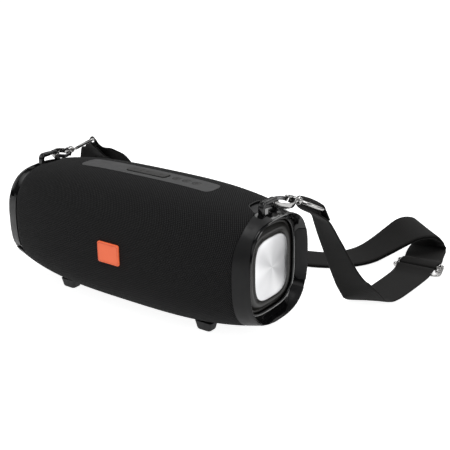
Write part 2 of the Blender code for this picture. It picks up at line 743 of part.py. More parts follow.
def strap_stations():
    """Webbing centreline from the right clasp over the floor to the left clasp."""
    return [((0.1461, 0.0737, 0.0663), (-0.840, 0.466, -0.277)),
            ((0.1527, 0.0756, 0.0517), (-0.851, 0.401, -0.338)),
            ((0.1596, 0.0782, 0.0362), (-0.874, 0.323, -0.363)),
            ((0.1659, 0.0820, 0.0232), (-0.879, 0.200, -0.433)),
            ((0.1718, 0.0862, 0.0144), (-0.911, 0.031, -0.411)),
            ((0.1735, 0.0973, 0.0060), (-0.977, -0.021, -0.205)),
            ((0.1743, 0.1104, 0.0029), (-0.996, 0.059, -0.070)),
            ((0.1764, 0.1222, 0.0017), (-0.999, 0.030, 0.000)),
            ((0.1767, 0.1422, 0.0013), (-1.000, 0.003, 0.000)),
            ((0.1767, 0.1630, 0.0013), (-1.000, -0.018, 0.000)),
            ((0.1761, 0.1822, 0.0013), (-0.998, -0.053, 0.000)),
            ((0.1749, 0.1992, 0.0013), (-0.994, -0.112, 0.000)),
            ((0.1726, 0.2151, 0.0013), (-0.981, -0.195, 0.000)),
            ((0.1672, 0.2333, 0.0014), (-0.971, -0.238, 0.000)),
            ((0.1625, 0.2480, 0.0026), (-0.985, -0.171, 0.000)),
            ((0.1617, 0.2535, 0.0078), (-0.992, 0.115, -0.054)),
            ((0.1616, 0.2542, 0.0163), (-0.939, 0.332, 0.091)),
            ((0.1603, 0.2474, 0.0258), (-0.883, 0.416, 0.217)),
            ((0.1552, 0.2356, 0.0301), (-0.850, 0.463, 0.251)),
            ((0.1482, 0.2252, 0.0289), (-0.837, 0.489, 0.245)),
            ((0.1399, 0.2149, 0.0223), (-0.834, 0.530, 0.152)),
            ((0.1307, 0.2037, 0.0145), (-0.813, 0.579, 0.057)),
            ((0.1216, 0.1926, 0.0081), (-0.769, 0.638, 0.024)),
            ((0.1112, 0.1820, 0.0050), (-0.714, 0.700, 0.0)),
            ((0.0993, 0.1712, 0.0040), (-0.627, 0.779, 0.0)),
            ((0.0805, 0.1593, 0.0038), (-0.478, 0.878, 0.0)),
            ((0.0197, 0.1411, 0.0038), (-0.284, 0.958, 0.0)),
            ((-0.0280, 0.1330, 0.0080), (-0.250, 0.960, 0.000)),
            ((-0.0560, 0.1210, 0.0300), (-0.400, 0.900, 0.000)),
            ((-0.0790, 0.1060, 0.0660), (-0.500, 0.860, 0.000)),
            ((-0.0960, 0.0900, 0.0980), (-0.560, 0.820, -0.100))]


def make_strap():
    bar, w = make_ring("right", RIGHT_BALL, RIGHT_BAR, RIGHT_WIDTH)
    lean = Vector((0.03, 0.50, -0.86)).normalized()
    strap_loop("right_strap_loop", bar, w, 0.0110, 0.0130, lean)
    bar, w = make_ring("left", LEFT_BALL, LEFT_BAR, LEFT_WIDTH)
    lean = Vector((0.55, 0.55, -0.62)).normalized()
    strap_loop("left_strap_loop", bar, w, 0.0110, 0.0130, lean)
    stations = smooth(strap_stations(), STRAP_STEPS)
    strip("strap_webbing", stations, webbing())
    start = 23 * STRAP_STEPS
    end = 26 * STRAP_STEPS + 1
    strip("strap_second_layer", stations[start:end], webbing(), offset=STRAP_THICK + 0.0005)


def make_slider():
    """Flat adjuster over the lower run: a rounded plate with two windows."""
    low = 0.0026
    high = 0.0060
    centre = (SLIDER_X, SLIDER_Y)
    frame = rounded_prism("strap_slider", centre, SLIDER_HALF_X, SLIDER_HALF_Y, 0.0030, low, high, steel(), 2)
    window = SLIDER_HALF_X - 0.0032
    for shift in (-0.0043, 0.0043):
        cut(frame, box("cut_slider_%d" % (shift > 0), (SLIDER_X - window, SLIDER_Y + shift - 0.0026, 0.0),
                       (SLIDER_X + window, SLIDER_Y + shift + 0.0026, 0.010), steel()))


# ---------------------------------------------------------------- joints and frame

def joint_places():
    """A point on each moving piece's joint axis."""
    places = {"port_cover": Vector((0.0, 0.0570, 0.0505)),
              "strap_slider": Vector((SLIDER_X, SLIDER_Y, 0.0043))}
    for side, tag, ball in ((-1, "left", LEFT_BALL), (1, "right", RIGHT_BALL)):
        hinge = Vector((side * LUG_X, HINGE_Y, HINGE_Z))
        along = (Vector(ball) - hinge).normalized()
        across = along.cross(Vector((0, 0, 1))).normalized()
        places["%s_hook_body" % tag] = hinge
        places["%s_hook_gate" % tag] = hinge + along * 0.0165 - across * 0.0066 * side
        places["%s_swivel_ring" % tag] = Vector(ball)
        places["%s_strap_loop" % tag] = Vector(ball)
        places["%s_radiator_plate" % tag] = Vector((side * PLATE_X, 0.0, AXIS_Z))
        places["%s_driver_cone" % tag] = Vector((side * DRIVER_X, BAFFLE_Y, DRIVER_Z))
    third = 2.0 * PAD_HALF_X / 3.0
    key_x = {"volume_down_key": -third, "play_key": 0.0, "volume_up_key": third}
    key_x.update(zip(("pairing_key", "link_key", "power_key"), SIDE_KEY_X))
    for name, x in key_x.items():
        places[name] = Vector((x, 0.0, top_height(x, 0.0, 0.0)))
    return places


def set_origin(item, place):
    item.data.transform(Matrix.Translation(-place))
    item.location = place


def hang_on_root():
    """Put the shared frame's origin under the middle of the whole object's box."""
    root = bpy.data.objects.new("speaker_root", None)
    bpy.context.scene.collection.objects.link(root)
    root.location = (-ORIGIN_X, -ORIGIN_Y, 0.0)
    for item in list(bpy.context.scene.collection.objects):
        if item.type == "MESH":
            item.parent = root


def main():
    clear_scene()
    make_barrel()
    make_enclosure()
    make_feet()
    for side, tag, ball in ((-1, "left", LEFT_BALL), (1, "right", RIGHT_BALL)):
        make_end(side, tag)
        make_lug(side, tag)
        make_radiator(side, tag)
        make_driver(side, tag)
        make_hook(side, tag, ball)
    make_insides()
    make_panel()
    make_badge()
    make_ports()
    make_strap()
    make_slider()
    for name, place in joint_places().items():
        set_origin(bpy.data.objects[name], place)
    hang_on_root()


main()
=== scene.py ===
"""Looks for the portable barrel speaker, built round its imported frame.  Metres, +Z up."""
import math

import bmesh
import bpy
from mathutils import Matrix, Vector


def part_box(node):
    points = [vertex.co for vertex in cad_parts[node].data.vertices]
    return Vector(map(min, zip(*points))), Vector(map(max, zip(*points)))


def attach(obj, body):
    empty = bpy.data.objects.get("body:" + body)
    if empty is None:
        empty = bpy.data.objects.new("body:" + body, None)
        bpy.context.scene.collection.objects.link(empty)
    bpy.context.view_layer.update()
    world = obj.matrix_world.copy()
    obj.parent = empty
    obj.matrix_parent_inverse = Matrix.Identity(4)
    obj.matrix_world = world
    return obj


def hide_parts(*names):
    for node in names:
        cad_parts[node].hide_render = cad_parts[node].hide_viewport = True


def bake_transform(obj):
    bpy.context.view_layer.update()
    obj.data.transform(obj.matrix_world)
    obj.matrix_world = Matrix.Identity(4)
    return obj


AXIS_Z = 0.0618
HALF_DEPTH = 0.0566
HALF_HEIGHT = 0.0600
SQUARENESS = 2.636
TAPER_DROP = 0.2183
TAPER_X = 0.1411
TAPER_POWER = 3.127
SEAM_X = 0.1245
OPENING = 0.640
OPENING_X = 0.1312
PLATE_X = 0.1336
PLATE_Y = 0.0243
PLATE_Z = 0.0274
PANEL_HALF_X = 0.0760
PANEL_HALF_Y = 0.0108
PAD_HALF_X = 0.0228
PAD_HALF_Y = 0.0047
MARK_THICK = 0.0003
SIDE_KEYS = (("pairing_key", 0.0330), ("link_key", 0.0440), ("power_key", 0.0550))
PORT_HALF_X = 0.0328
PORT_HALF_Z = 0.0113
PORT_GAP = 0.0005
FOOT_X = 0.0820
FOOT_Y = 0.0252
LUG_X = 0.1290
HINGE_Y = 0.01225
HINGE_Z = 0.1158
STRAP_HALF = 0.0190
STRAP_THICK = 0.0016
RIGHT_BALL = Vector((0.1353, 0.0424, 0.1097))
RIGHT_BAR = Vector((0.1326, 0.0618, 0.0998))
RIGHT_WIDTH = Vector((0.945, -0.335, 0.0)).normalized()
LEFT_BALL = Vector((-0.1381, 0.0419, 0.1125))
LEFT_BAR = Vector((-0.1232, 0.0570, 0.1214))
LEFT_WIDTH = Vector((-0.678, 0.689, -0.256)).normalized()
BAR_HALF = 0.0205

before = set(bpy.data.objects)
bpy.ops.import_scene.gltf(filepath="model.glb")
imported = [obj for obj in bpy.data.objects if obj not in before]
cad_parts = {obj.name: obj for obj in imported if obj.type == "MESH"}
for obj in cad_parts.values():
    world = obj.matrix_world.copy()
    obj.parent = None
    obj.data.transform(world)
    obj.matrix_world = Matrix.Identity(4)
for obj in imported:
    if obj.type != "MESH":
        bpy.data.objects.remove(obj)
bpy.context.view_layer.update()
SLEEVE_LOW, SLEEVE_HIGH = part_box("fabric_sleeve")
# Pieces are modelled with the barrel's middle at x = y = 0, and make() moves each one by SHIFT.
SHIFT = Vector((0.5 * (SLEEVE_LOW[0] + SLEEVE_HIGH[0]), 0.5 * (SLEEVE_LOW[1] + SLEEVE_HIGH[1]), 0.0))


# ------------------------------------------------------------------ shader helpers

def node(tree, kind, values=None, **settings):
    made = tree.nodes.new(kind)
    for key, value in settings.items():
        setattr(made, key, value)
    for key, value in (values or {}).items():
        if isinstance(value, bpy.types.NodeSocket):
            tree.links.new(value, made.inputs[key])
        else:
            made.inputs[key].default_value = value
    return made


def calc(tree, operation, a, b=0.0, c=0.0):
    made = node(tree, "ShaderNodeMath", operation=operation)
    for index, value in enumerate((a, b, c)):
        if isinstance(value, bpy.types.NodeSocket):
            tree.links.new(value, made.inputs[index])
        else:
            made.inputs[index].default_value = value
    return made.outputs[0]


def add_up(tree, a, b):
    return calc(tree, "ADD", a, b)


def scaled(tree, a, b):
    return calc(tree, "MULTIPLY", a, b)


def wave(tree, value, pitch):
    """Sine of a length, one full wave per pitch."""
    return calc(tree, "SINE", calc(tree, "MULTIPLY", value, math.tau / pitch))


def noise(tree, place, scale, detail=3.0, roughness=0.5):
    made = node(tree, "ShaderNodeTexNoise", {"Vector": place, "Scale": scale, "Detail": detail,
                                             "Roughness": roughness})
    return made.outputs["Fac"]


def blend_colour(tree, factor, low, high):
    made = node(tree, "ShaderNodeMix", data_type="RGBA")
    for key, value in ((0, factor), (6, low), (7, high)):
        if isinstance(value, bpy.types.NodeSocket):
            tree.links.new(value, made.inputs[key])
        else:
            made.inputs[key].default_value = (*value, 1.0) if key else value
    return made.outputs[2]


def span(tree, value, low, high, to_low, to_high):
    made = node(tree, "ShaderNodeMapRange", {0: value, 1: low, 2: high, 3: to_low, 4: to_high})
    return made.outputs[0]


def bump(tree, height, strength, distance):
    made = node(tree, "ShaderNodeBump", {"Height": height, "Strength": strength, "Distance": distance})
    return made.outputs["Normal"]


def start_look(name, colour, roughness, metallic=0.0):
    made = bpy.data.materials.new(name)
    made.use_nodes = True
    tree = made.node_tree
    shader = tree.nodes["Principled BSDF"]
    shader.inputs["Base Color"].default_value = (*colour, 1.0)
    shader.inputs["Roughness"].default_value = roughness
    shader.inputs["Metallic"].default_value = metallic
    place = node(tree, "ShaderNodeTexCoord")
    return made, tree, shader, place


def moulded(name, colour, rough, grain=2600.0, depth=0.00004, vary=0.25, metallic=0.0, wear=0.0, coat=0.0,
            painted_glow=0.0, shine=0.5):
    """Moulded or cast surface: fine grain, blotchy gloss and slightly rubbed edges."""
    made, tree, shader, place = start_look(name, colour, rough, metallic)
    spot = place.outputs["Object"]
    cloud = noise(tree, spot, 55.0, 4.0)
    dark = tuple(c * (1.0 - vary) for c in colour)
    light = tuple(min(1.0, c * (1.0 + vary)) for c in colour)
    tone = blend_colour(tree, cloud, dark, light)
    if wear > 0.0:
        geometry = node(tree, "ShaderNodeNewGeometry")
        edge = span(tree, geometry.outputs["Pointiness"], 0.52, 0.60, 0.0, wear)
        worn = tuple(min(1.0, c * 2.2 + 0.02) for c in colour)
        tone = blend_colour(tree, edge, tone, worn)
    tree.links.new(tone, shader.inputs["Base Color"])
    fine = noise(tree, spot, grain, 2.0)
    gloss = span(tree, noise(tree, spot, 160.0, 3.0), 0.3, 0.7, max(0.03, rough - 0.06), rough + 0.06)
    tree.links.new(gloss, shader.inputs["Roughness"])
    tree.links.new(bump(tree, fine, 0.35, depth), shader.inputs["Normal"])
    shader.inputs["Specular IOR Level"].default_value = shine
    # Painted glow: the surface's colour is also given off as light, so the part shines though it is no lamp.
    if painted_glow > 0.0:
        tree.links.new(tone, shader.inputs["Emission Color"])
        shader.inputs["Emission Strength"].default_value = painted_glow
    if coat > 0.0:
        shader.inputs["Coat Weight"].default_value = coat
        shader.inputs["Coat Roughness"].default_value = 0.05
    return made


def knit_look():
    """Slanted knit: rows of small stitches that lean along the barrel."""
    rib_pitch = 0.00185
    rib_slant = 104.0
    stitch_pitch = 0.0042
    stitch_slant = 170.0
    made, tree, shader, place = start_look("knit_cloth_look", (0.03, 0.03, 0.03), 0.85)
    parts = node(tree, "ShaderNodeSeparateXYZ", {"Vector": place.outputs["Object"]})
    x, y, z = parts.outputs
    turn = calc(tree, "ARCTAN2", calc(tree, "SUBTRACT", z, AXIS_Z), scaled(tree, y, -1.0))
    lean = add_up(tree, scaled(tree, x, math.tau / rib_pitch), scaled(tree, turn, rib_slant))
    cross = calc(tree, "SUBTRACT", scaled(tree, x, math.tau / stitch_pitch), scaled(tree, turn, stitch_slant))
    rib = span(tree, calc(tree, "SINE", lean), -0.7, 1.0, 0.0, 1.0)
    stitch = span(tree, calc(tree, "SINE", cross), -1.0, 0.6, 0.30, 1.0)
    height = scaled(tree, rib, stitch)
    cloud = noise(tree, place.outputs["Object"], 38.0, 4.0)
    fuzz = noise(tree, place.outputs["Object"], 2400.0, 2.0)
    level = add_up(tree, height, scaled(tree, fuzz, 0.25))
    # Painted highlight and shade: the colour follows the stitches' height, lighter on the raised stitches and
    # darker in the grooves between them.
    stitch_shading = scaled(tree, level, 0.85)
    tone = blend_colour(tree, stitch_shading, (0.0018, 0.0018, 0.0019), (0.0420, 0.0420, 0.0425))
    shade = blend_colour(tree, span(tree, cloud, 0.3, 0.7, 0.0, 0.22), tone, (0.0130, 0.0130, 0.0132))
    tree.links.new(shade, shader.inputs["Base Color"])
    tree.links.new(bump(tree, level, 0.8, 0.00035), shader.inputs["Normal"])
    shader.inputs["Sheen Weight"].default_value = 0.03
    shader.inputs["Specular IOR Level"].default_value = 0.12
    return made


def webbing_look():
    """Tight ribbed webbing in strap coordinates: U across, V along, both in metres."""
    made, tree, shader, place = start_look("webbing_look", (0.012, 0.011, 0.010), 0.75)
    parts = node(tree, "ShaderNodeSeparateXYZ", {"Vector": place.outputs["UV"]})
    u = parts.outputs[0]
    v = parts.outputs[1]
    rib = wave(tree, v, 0.00125)
    warp = wave(tree, u, 0.0019)
    height = add_up(tree, scaled(tree, rib, 0.5), scaled(tree, warp, 0.32))
    fuzz = noise(tree, place.outputs["UV"], 1500.0, 3.0)
    level = add_up(tree, span(tree, height, -0.8, 0.8, 0.0, 0.7), scaled(tree, fuzz, 0.3))
    # Painted highlight and shade: the colour follows the ribs' height, lighter on the ribs and darker in the
    # grooves.
    tone = blend_colour(tree, level, (0.0045, 0.0042, 0.0040), (0.0180, 0.0172, 0.0165))
    # Darker band along both edges of the webbing.
    edge_band = span(tree, calc(tree, "ABSOLUTE", u), 0.0172, 0.0180, 0.0, 0.55)
    tone = blend_colour(tree, edge_band, tone, (0.0070, 0.0066, 0.0062))
    tree.links.new(tone, shader.inputs["Base Color"])
    tree.links.new(bump(tree, level, 0.55, 0.00022), shader.inputs["Normal"])
    shader.inputs["Sheen Weight"].default_value = 0.05
    shader.inputs["Specular IOR Level"].default_value = 0.18
    return made


def turned_look():
    """Metal turned about the barrel's axis: fine rings, with a fan-shaped sheen painted into its colour."""
    made, tree, shader, place = start_look("turned_metal_look", (0.80, 0.80, 0.81), 0.30, 1.0)
    parts = node(tree, "ShaderNodeSeparateXYZ", {"Vector": place.outputs["Object"]})
    y = parts.outputs[1]
    z = calc(tree, "SUBTRACT", parts.outputs[2], AXIS_Z)
    reach = calc(tree, "SQRT", add_up(tree, scaled(tree, y, y), scaled(tree, z, z)))
    rings = wave(tree, reach, 0.00032)
    ring_noise = noise(tree, node(tree, "ShaderNodeCombineXYZ", {"X": reach}).outputs[0], 3200.0, 3.0)
    turn = calc(tree, "ARCTAN2", z, y)
    # Painted sheen: the colour grows lighter and darker in fans round the axis, standing in for the turned
    # metal's reflections.
    fan = calc(tree, "SINE", add_up(tree, scaled(tree, turn, 4.0), 0.9))
    fan2 = calc(tree, "SINE", add_up(tree, scaled(tree, turn, 6.0), 2.2))
    sheen = add_up(tree, scaled(tree, fan, 0.6), scaled(tree, fan2, 0.4))
    tone = blend_colour(tree, span(tree, sheen, -0.9, 0.9, 0.0, 1.0), (0.70, 0.70, 0.71), (0.93, 0.93, 0.94))
    tone = blend_colour(tree, scaled(tree, ring_noise, 0.25), tone, (0.60, 0.60, 0.61))
    tree.links.new(tone, shader.inputs["Base Color"])
    tree.links.new(bump(tree, add_up(tree, rings, ring_noise), 0.12, 0.00003), shader.inputs["Normal"])
    shader.inputs["Anisotropic"].default_value = 0.75
    tangent = node(tree, "ShaderNodeTangent", direction_type="RADIAL", axis="X")
    tree.links.new(tangent.outputs[0], shader.inputs["Tangent"])
    return made


def board_look(name, colour, line):
    """Circuit board: thin tracks in a brick pattern over the board's own colour."""
    made, tree, shader, place = start_look(name, colour, 0.45)
    tracks = node(tree, "ShaderNodeTexBrick", {"Vector": place.outputs["Object"], "Scale": 120.0,
                                               "Color1": (*colour, 1.0), "Color2": (*colour, 1.0),
                                               "Mortar": (*line, 1.0), "Mortar Size": 0.012})
    tree.links.new(tracks.outputs["Color"], shader.inputs["Base Color"])
    tree.links.new(bump(tree, noise(tree, place.outputs["Object"], 900.0), 0.2, 0.00005),
                   shader.inputs["Normal"])
    return made


KNIT = knit_look()
WEBBING = webbing_look()
TURNED = turned_look()
SATIN = moulded("satin_look", (0.0085, 0.0085, 0.0090), 0.42, wear=0.30, shine=0.24)
LUG_LOOK = moulded("lug_look", (0.0050, 0.0050, 0.0054), 0.22, wear=0.15, coat=0.15, shine=0.4)
SATIN_LIGHT = moulded("satin_inner_look", (0.0085, 0.0085, 0.0090), 0.36, wear=0.2, shine=0.24)
GLOSS = moulded("gloss_look", (0.0040, 0.0040, 0.0044), 0.10, depth=0.00001, coat=0.25, shine=0.35)
BED = moulded("recess_look", (0.0035, 0.0035, 0.0038), 0.55, shine=0.15)
RUBBER = moulded("panel_rubber_look", (0.078, 0.078, 0.079), 0.62, grain=3800.0, depth=0.00006)
KEY_RUBBER = moulded("key_rubber_look", (0.050, 0.049, 0.048), 0.58, grain=3800.0, depth=0.00006, wear=0.2)
MARK = moulded("mark_look", (0.022, 0.021, 0.021), 0.55, vary=0.15)
ROLL = moulded("roll_rubber_look", (0.0120, 0.0108, 0.0088), 0.34, grain=1500.0, depth=0.00005)
# The orange badge carries a painted glow that keeps it bright where the lamps leave it dim.
ORANGE = moulded("badge_look", (0.96, 0.165, 0.058), 0.40, grain=1800.0, depth=0.00002, vary=0.05, painted_glow=0.34)
ORANGE_EDGE = moulded("badge_edge_look", (0.80, 0.125, 0.045), 0.30, vary=0.05)
CHROME = moulded("chrome_look", (0.44, 0.435, 0.43), 0.15, grain=900.0, depth=0.00003, vary=0.08,
                 metallic=1.0)
STEEL = moulded("steel_look", (0.36, 0.36, 0.37), 0.28, grain=1400.0, depth=0.00004, vary=0.15,
                metallic=1.0)
# Light grey for the painted reflection strip along the opening's lip.
LIP_GLINT = moulded("lip_glint_look", (0.55, 0.55, 0.54), 0.25, vary=0.1, coat=0.3)
INNER = moulded("inner_plastic_look", (0.016, 0.016, 0.017), 0.60)
PAPER = moulded("cone_look", (0.028, 0.028, 0.030), 0.80, grain=900.0, depth=0.00015)
WRAP = moulded("battery_look", (0.040, 0.090, 0.230), 0.40)
FOOT = moulded("foot_look", (0.020, 0.020, 0.021), 0.65)
BOARD = board_look("board_look", (0.015, 0.090, 0.040), (0.10, 0.20, 0.09))


# ------------------------------------------------------------------ mesh helpers

def make(name, verts, faces, look, sharp=38.0):
    """Object from points and faces, shaded smooth up to the sharp angle, moved into the frame."""
    mesh = bpy.data.meshes.new(name)
    mesh.from_pydata([tuple(v) for v in verts], [], faces)
    bm = bmesh.new()
    bm.from_mesh(mesh)
    bmesh.ops.recalc_face_normals(bm, faces=bm.faces)
    bm.to_mesh(mesh)
    bm.free()
    mesh.shade_smooth()
    mesh.set_sharp_from_angle(angle=math.radians(sharp))
    mesh.materials.append(look)
    item = bpy.data.objects.new(name, mesh)
    item.matrix_world = Matrix.Translation(SHIFT)
    bpy.context.scene.collection.objects.link(item)
    return item


def spread(low, high, count):
    return [low + (high - low) * i / (count - 1) for i in range(count)]


def taper(x):
    """Scale of the barrel's section at x: full in the middle, smaller towards the ends."""
    return 1.0 - TAPER_DROP * (abs(x) / TAPER_X) ** TAPER_POWER


def super_point(x, ry, rz, turn, power=SQUARENESS):
    """Point on a squarish oval round the barrel's axis; 90 degrees is the top."""
    c = math.cos(turn)
    s = math.sin(turn)
    y = ry * math.copysign(abs(c) ** (2.0 / power), c)
    z = rz * math.copysign(abs(s) ** (2.0 / power), s)
    return Vector((x, y, AXIS_Z + z))


def even_turns(count):
    """Angles that space points evenly round the squarish outline."""
    dense = [math.tau * i / 2880 for i in range(2881)]
    spots = [super_point(0.0, HALF_DEPTH, HALF_HEIGHT, t) for t in dense]
    walked = [0.0]
    for a, b in zip(spots, spots[1:]):
        walked.append(walked[-1] + (b - a).length)
    turns = []
    k = 0
    for i in range(count):
        goal = walked[-1] * i / count
        while walked[k + 1] < goal:
            k += 1
        part = (goal - walked[k]) / (walked[k + 1] - walked[k])
        turns.append(dense[k] + part * (dense[k + 1] - dense[k]))
    return turns


ROUND = even_turns(168)


def top_height(x, y):
    """Height of the barrel's upper surface."""
    k = taper(x)
    ry = HALF_DEPTH * k
    rz = HALF_HEIGHT * k
    rest = max(0.0, 1.0 - (abs(y) / ry) ** SQUARENESS)
    return AXIS_Z + rz * rest ** (1.0 / SQUARENESS)


def front_depth(x, z, lift=0.0):
    """Y of the barrel's front surface, or of a surface standing proud of it by lift."""
    k = taper(x)
    ry = HALF_DEPTH * k + lift
    rz = HALF_HEIGHT * k + lift
    rest = max(0.0, 1.0 - (abs(z - AXIS_Z) / rz) ** SQUARENESS)
    return -ry * rest ** (1.0 / SQUARENESS)


def skin(rings, along_closed=False):
    """Points and faces through rings of equal length, capped unless the rings close on themselves."""
    n = len(rings[0])
    verts = [p for ring in rings for p in ring]
    faces = []
    rows = len(rings) if along_closed else len(rings) - 1
    for a in range(rows):
        b = (a + 1) % len(rings)
        for i in range(n):
            j = (i + 1) % n
            faces.append((a * n + i, a * n + j, b * n + j, b * n + i))
    if not along_closed:
        faces.append(tuple(range(n)))
        faces.append(tuple((len(rings) - 1) * n + i for i in range(n)))
    return verts, faces


def loft(name, rings, look, sharp=38.0):
    verts, faces = skin(rings)
    return make(name, verts, faces, look, sharp)


def hoop(name, rings, look, sharp=38.0):
    verts, faces = skin(rings, along_closed=True)
    return make(name, verts, faces, look, sharp)


def slab(name, upper, lower, look):
    """Closed sheet between two grids of points."""
    rows = len(upper)
    cols = len(upper[0])
    verts = [p for row in upper for p in row] + [p for row in lower for p in row]
    shift = rows * cols
    faces = []
    for r in range(rows - 1):
        for c in range(cols - 1):
            a = r * cols + c
            quad = (a, a + 1, a + cols + 1, a + cols)
            faces.append(quad)
            faces.append(tuple(shift + q for q in reversed(quad)))
    edge = list(range(cols))
    edge += [r * cols + cols - 1 for r in range(1, rows)]
    edge += [(rows - 1) * cols + c for c in range(cols - 2, -1, -1)]
    edge += [r * cols for r in range(rows - 2, 0, -1)]
    for i, a in enumerate(edge):
        b = edge[(i + 1) % len(edge)]
        faces.append((a, b, shift + b, shift + a))
    return make(name, verts, faces, look)


def block(name, corner, opposite, depth, look):
    """Box between two corners, built as two sheets that face each other along axis number depth."""
    width = 3 - depth
    sheets = []
    for end in (corner[depth], opposite[depth]):
        sheet = []
        for x in (corner[0], opposite[0]):
            row = []
            for across in (corner[width], opposite[width]):
                p = Vector((x, across, across))
                p[depth] = end
                row.append(p)
            sheet.append(row)
        sheets.append(sheet)
    return slab(name, sheets[0], sheets[1], look)


def bevel(item, width, segments=3, angle=40.0):
    step = item.modifiers.new("bevel", "BEVEL")
    step.width = width
    step.segments = segments
    step.limit_method = "ANGLE"
    step.angle_limit = math.radians(angle)
    step.harden_normals = True
    return item


def bake(item):
    """Replace the mesh by its evaluated self and drop the modifiers."""
    bpy.context.view_layer.update()
    graph = bpy.context.evaluated_depsgraph_get()
    mesh = bpy.data.meshes.new_from_object(item.evaluated_get(graph))
    item.modifiers.clear()
    item.data = mesh
    return item


def carve(item, cutters):
    """Cut the cutters out of the item for good, and remove them."""
    for cutter in cutters:
        step = item.modifiers.new("cut", "BOOLEAN")
        step.operation = "DIFFERENCE"
        step.solver = "EXACT"
        step.object = cutter
    bake(item)
    for cutter in cutters:
        bpy.data.objects.remove(cutter, do_unlink=True)
    item.data.shade_smooth()
    item.data.set_sharp_from_angle(angle=math.radians(35))
    return item


def rounded_outline(half_x, half_y, corner, steps=6):
    points = []
    for quarter in range(4):
        sx = (1, -1, -1, 1)[quarter]
        sy = (1, 1, -1, -1)[quarter]
        for i in range(steps + 1):
            turn = math.pi / 2 * (quarter + i / steps)
            points.append((sx * (half_x - corner) + corner * math.cos(turn),
                           sy * (half_y - corner) + corner * math.sin(turn)))
    return points


def prism(name, centre, half_x, half_y, corner, low, high, look, steps=6):
    pairs = rounded_outline(half_x, half_y, corner, steps)
    rings = [[Vector((centre[0] + x, centre[1] + y, z)) for x, y in pairs] for z in (low, high)]
    return loft(name, rings, look)


def tube(name, path, radii, look, sides=14, closed=False, hint=Vector((0, 0, 1))):
    """Round wire along a path, with one radius per point and a frame carried along."""
    n = len(path)
    rings = []
    side = None
    for i, here in enumerate(path):
        before = path[(i - 1) % n] if closed or i > 0 else here
        after = path[(i + 1) % n] if closed or i < n - 1 else here
        ahead = (after - before).normalized()
        if side is None:
            side = ahead.cross(hint).normalized()
        side = (side - ahead * side.dot(ahead)).normalized()
        other = ahead.cross(side)
        radius = radii[i] if isinstance(radii, (list, tuple)) else radii
        rings.append([here + (side * math.cos(math.tau * j / sides) + other * math.sin(math.tau * j / sides))
                      * radius for j in range(sides)])
    if closed:
        return hoop(name, rings, look, 60)
    return loft(name, rings, look, 60)


def curve_through(points, steps, closed=False):
    """Smooth curve through the points, with so many steps from each to the next."""
    result = []
    n = len(points)
    count = n if closed else n - 1

    def at(k):
        return points[k % n] if closed else points[max(0, min(n - 1, k))]

    for k in range(count):
        a, b, c, d = [at(k + move) for move in (-1, 0, 1, 2)]
        for s in range(steps):
            t = s / steps
            place = 2 * b + (c - a) * t + (2 * a - 5 * b + 4 * c - d) * t ** 2
            result.append(0.5 * (place + (3 * b - a - 3 * c + d) * t ** 3))
    if not closed:
        result.append(points[-1].copy())
    return result


def join(target, others):
    """Merge more objects into target, keeping their own materials."""
    bm = bmesh.new()
    bm.from_mesh(target.data)
    for other in others:
        start = len(target.data.materials)
        for look in other.data.materials:
            target.data.materials.append(look)
        extra = other.data.copy()
        for face in extra.polygons:
            face.material_index += start
        bm.from_mesh(extra)
        bpy.data.objects.remove(other, do_unlink=True)
    bm.to_mesh(target.data)
    bm.free()
    return target


def blend(item):
    """Bake a finished piece's placement into its mesh."""
    bpy.context.view_layer.update()
    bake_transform(item)


def settle(item, body, slot, *nodes):
    """Let a finished piece ride on its body and stand for its frame nodes."""
    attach(item, body)
    if nodes:
        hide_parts(*nodes)
    return item


# ------------------------------------------------------------------ barrel

def reach(side, turn):
    """How far the cloth runs past the plain seam: more at the left end, and at the right end's
    upper front corner. It stops at the seam under the lugs."""
    left_reach = 0.0042
    right_reach = 0.0013
    right_hump = 0.0020
    degrees = math.degrees(turn) % 360.0
    crown = math.exp(-((degrees - 90.0) / 9.0) ** 4)
    if side < 0:
        return left_reach * (1.0 - crown)
    hump = math.exp(-((degrees - 129.0) / 21.0) ** 2)
    front = 1.0 if 100.0 < degrees < 250.0 else 0.4
    return (right_reach * front + right_hump * hump) * (1.0 - crown)


def build_sleeve():
    end = SEAM_X - 0.0003
    wall = 0.0014
    tuck_depth = 0.0007
    tuck_width = 0.0022
    push_from = 0.095
    notch_edge = [(0.1400, -0.0150), (0.1260, -0.0138), (0.1202, -0.0112), (0.1152, -0.0078),
                  (0.1138, -0.0030), (0.1138, 0.0060), (0.1152, 0.0110), (0.1202, 0.0150),
                  (0.1260, 0.0165), (0.1400, 0.0170)]

    def row(x, drop):
        side = math.copysign(1.0, x)
        push = max(0.0, (abs(x) - push_from) / (end - push_from))
        points = []
        for t in ROUND:
            place = x + side * reach(side, t) * push
            k = taper(place)
            points.append(super_point(place, HALF_DEPTH * k - drop, HALF_HEIGHT * k - drop, t))
        return points

    outer = []
    for x in spread(-end, end, 91):
        tuck = tuck_depth * max(0.0, 1.0 - (end - abs(x)) / tuck_width) ** 2
        outer.append(row(x, tuck))
    inner = [row(x, wall) for x in spread(end, -end, 31)]
    sleeve = hoop("fabric_wrap", outer + inner, KNIT)
    half_x = PORT_HALF_X + PORT_GAP
    half_z = PORT_HALF_Z + PORT_GAP
    door = block("door_cut", (-half_x, 0.030, AXIS_Z - half_z), (half_x, 0.070, AXIS_Z + half_z), 1, KNIT)
    notches = []
    for side in (-1, 1):
        rings = [[Vector((side * x, y, z)) for x, y in notch_edge] for z in (0.0900, 0.1400)]
        notches.append(loft("notch_cut", rings, KNIT))
    carve(sleeve, [door] + notches)
    settle(sleeve, "cabinet", "knit_cloth", "fabric_sleeve")


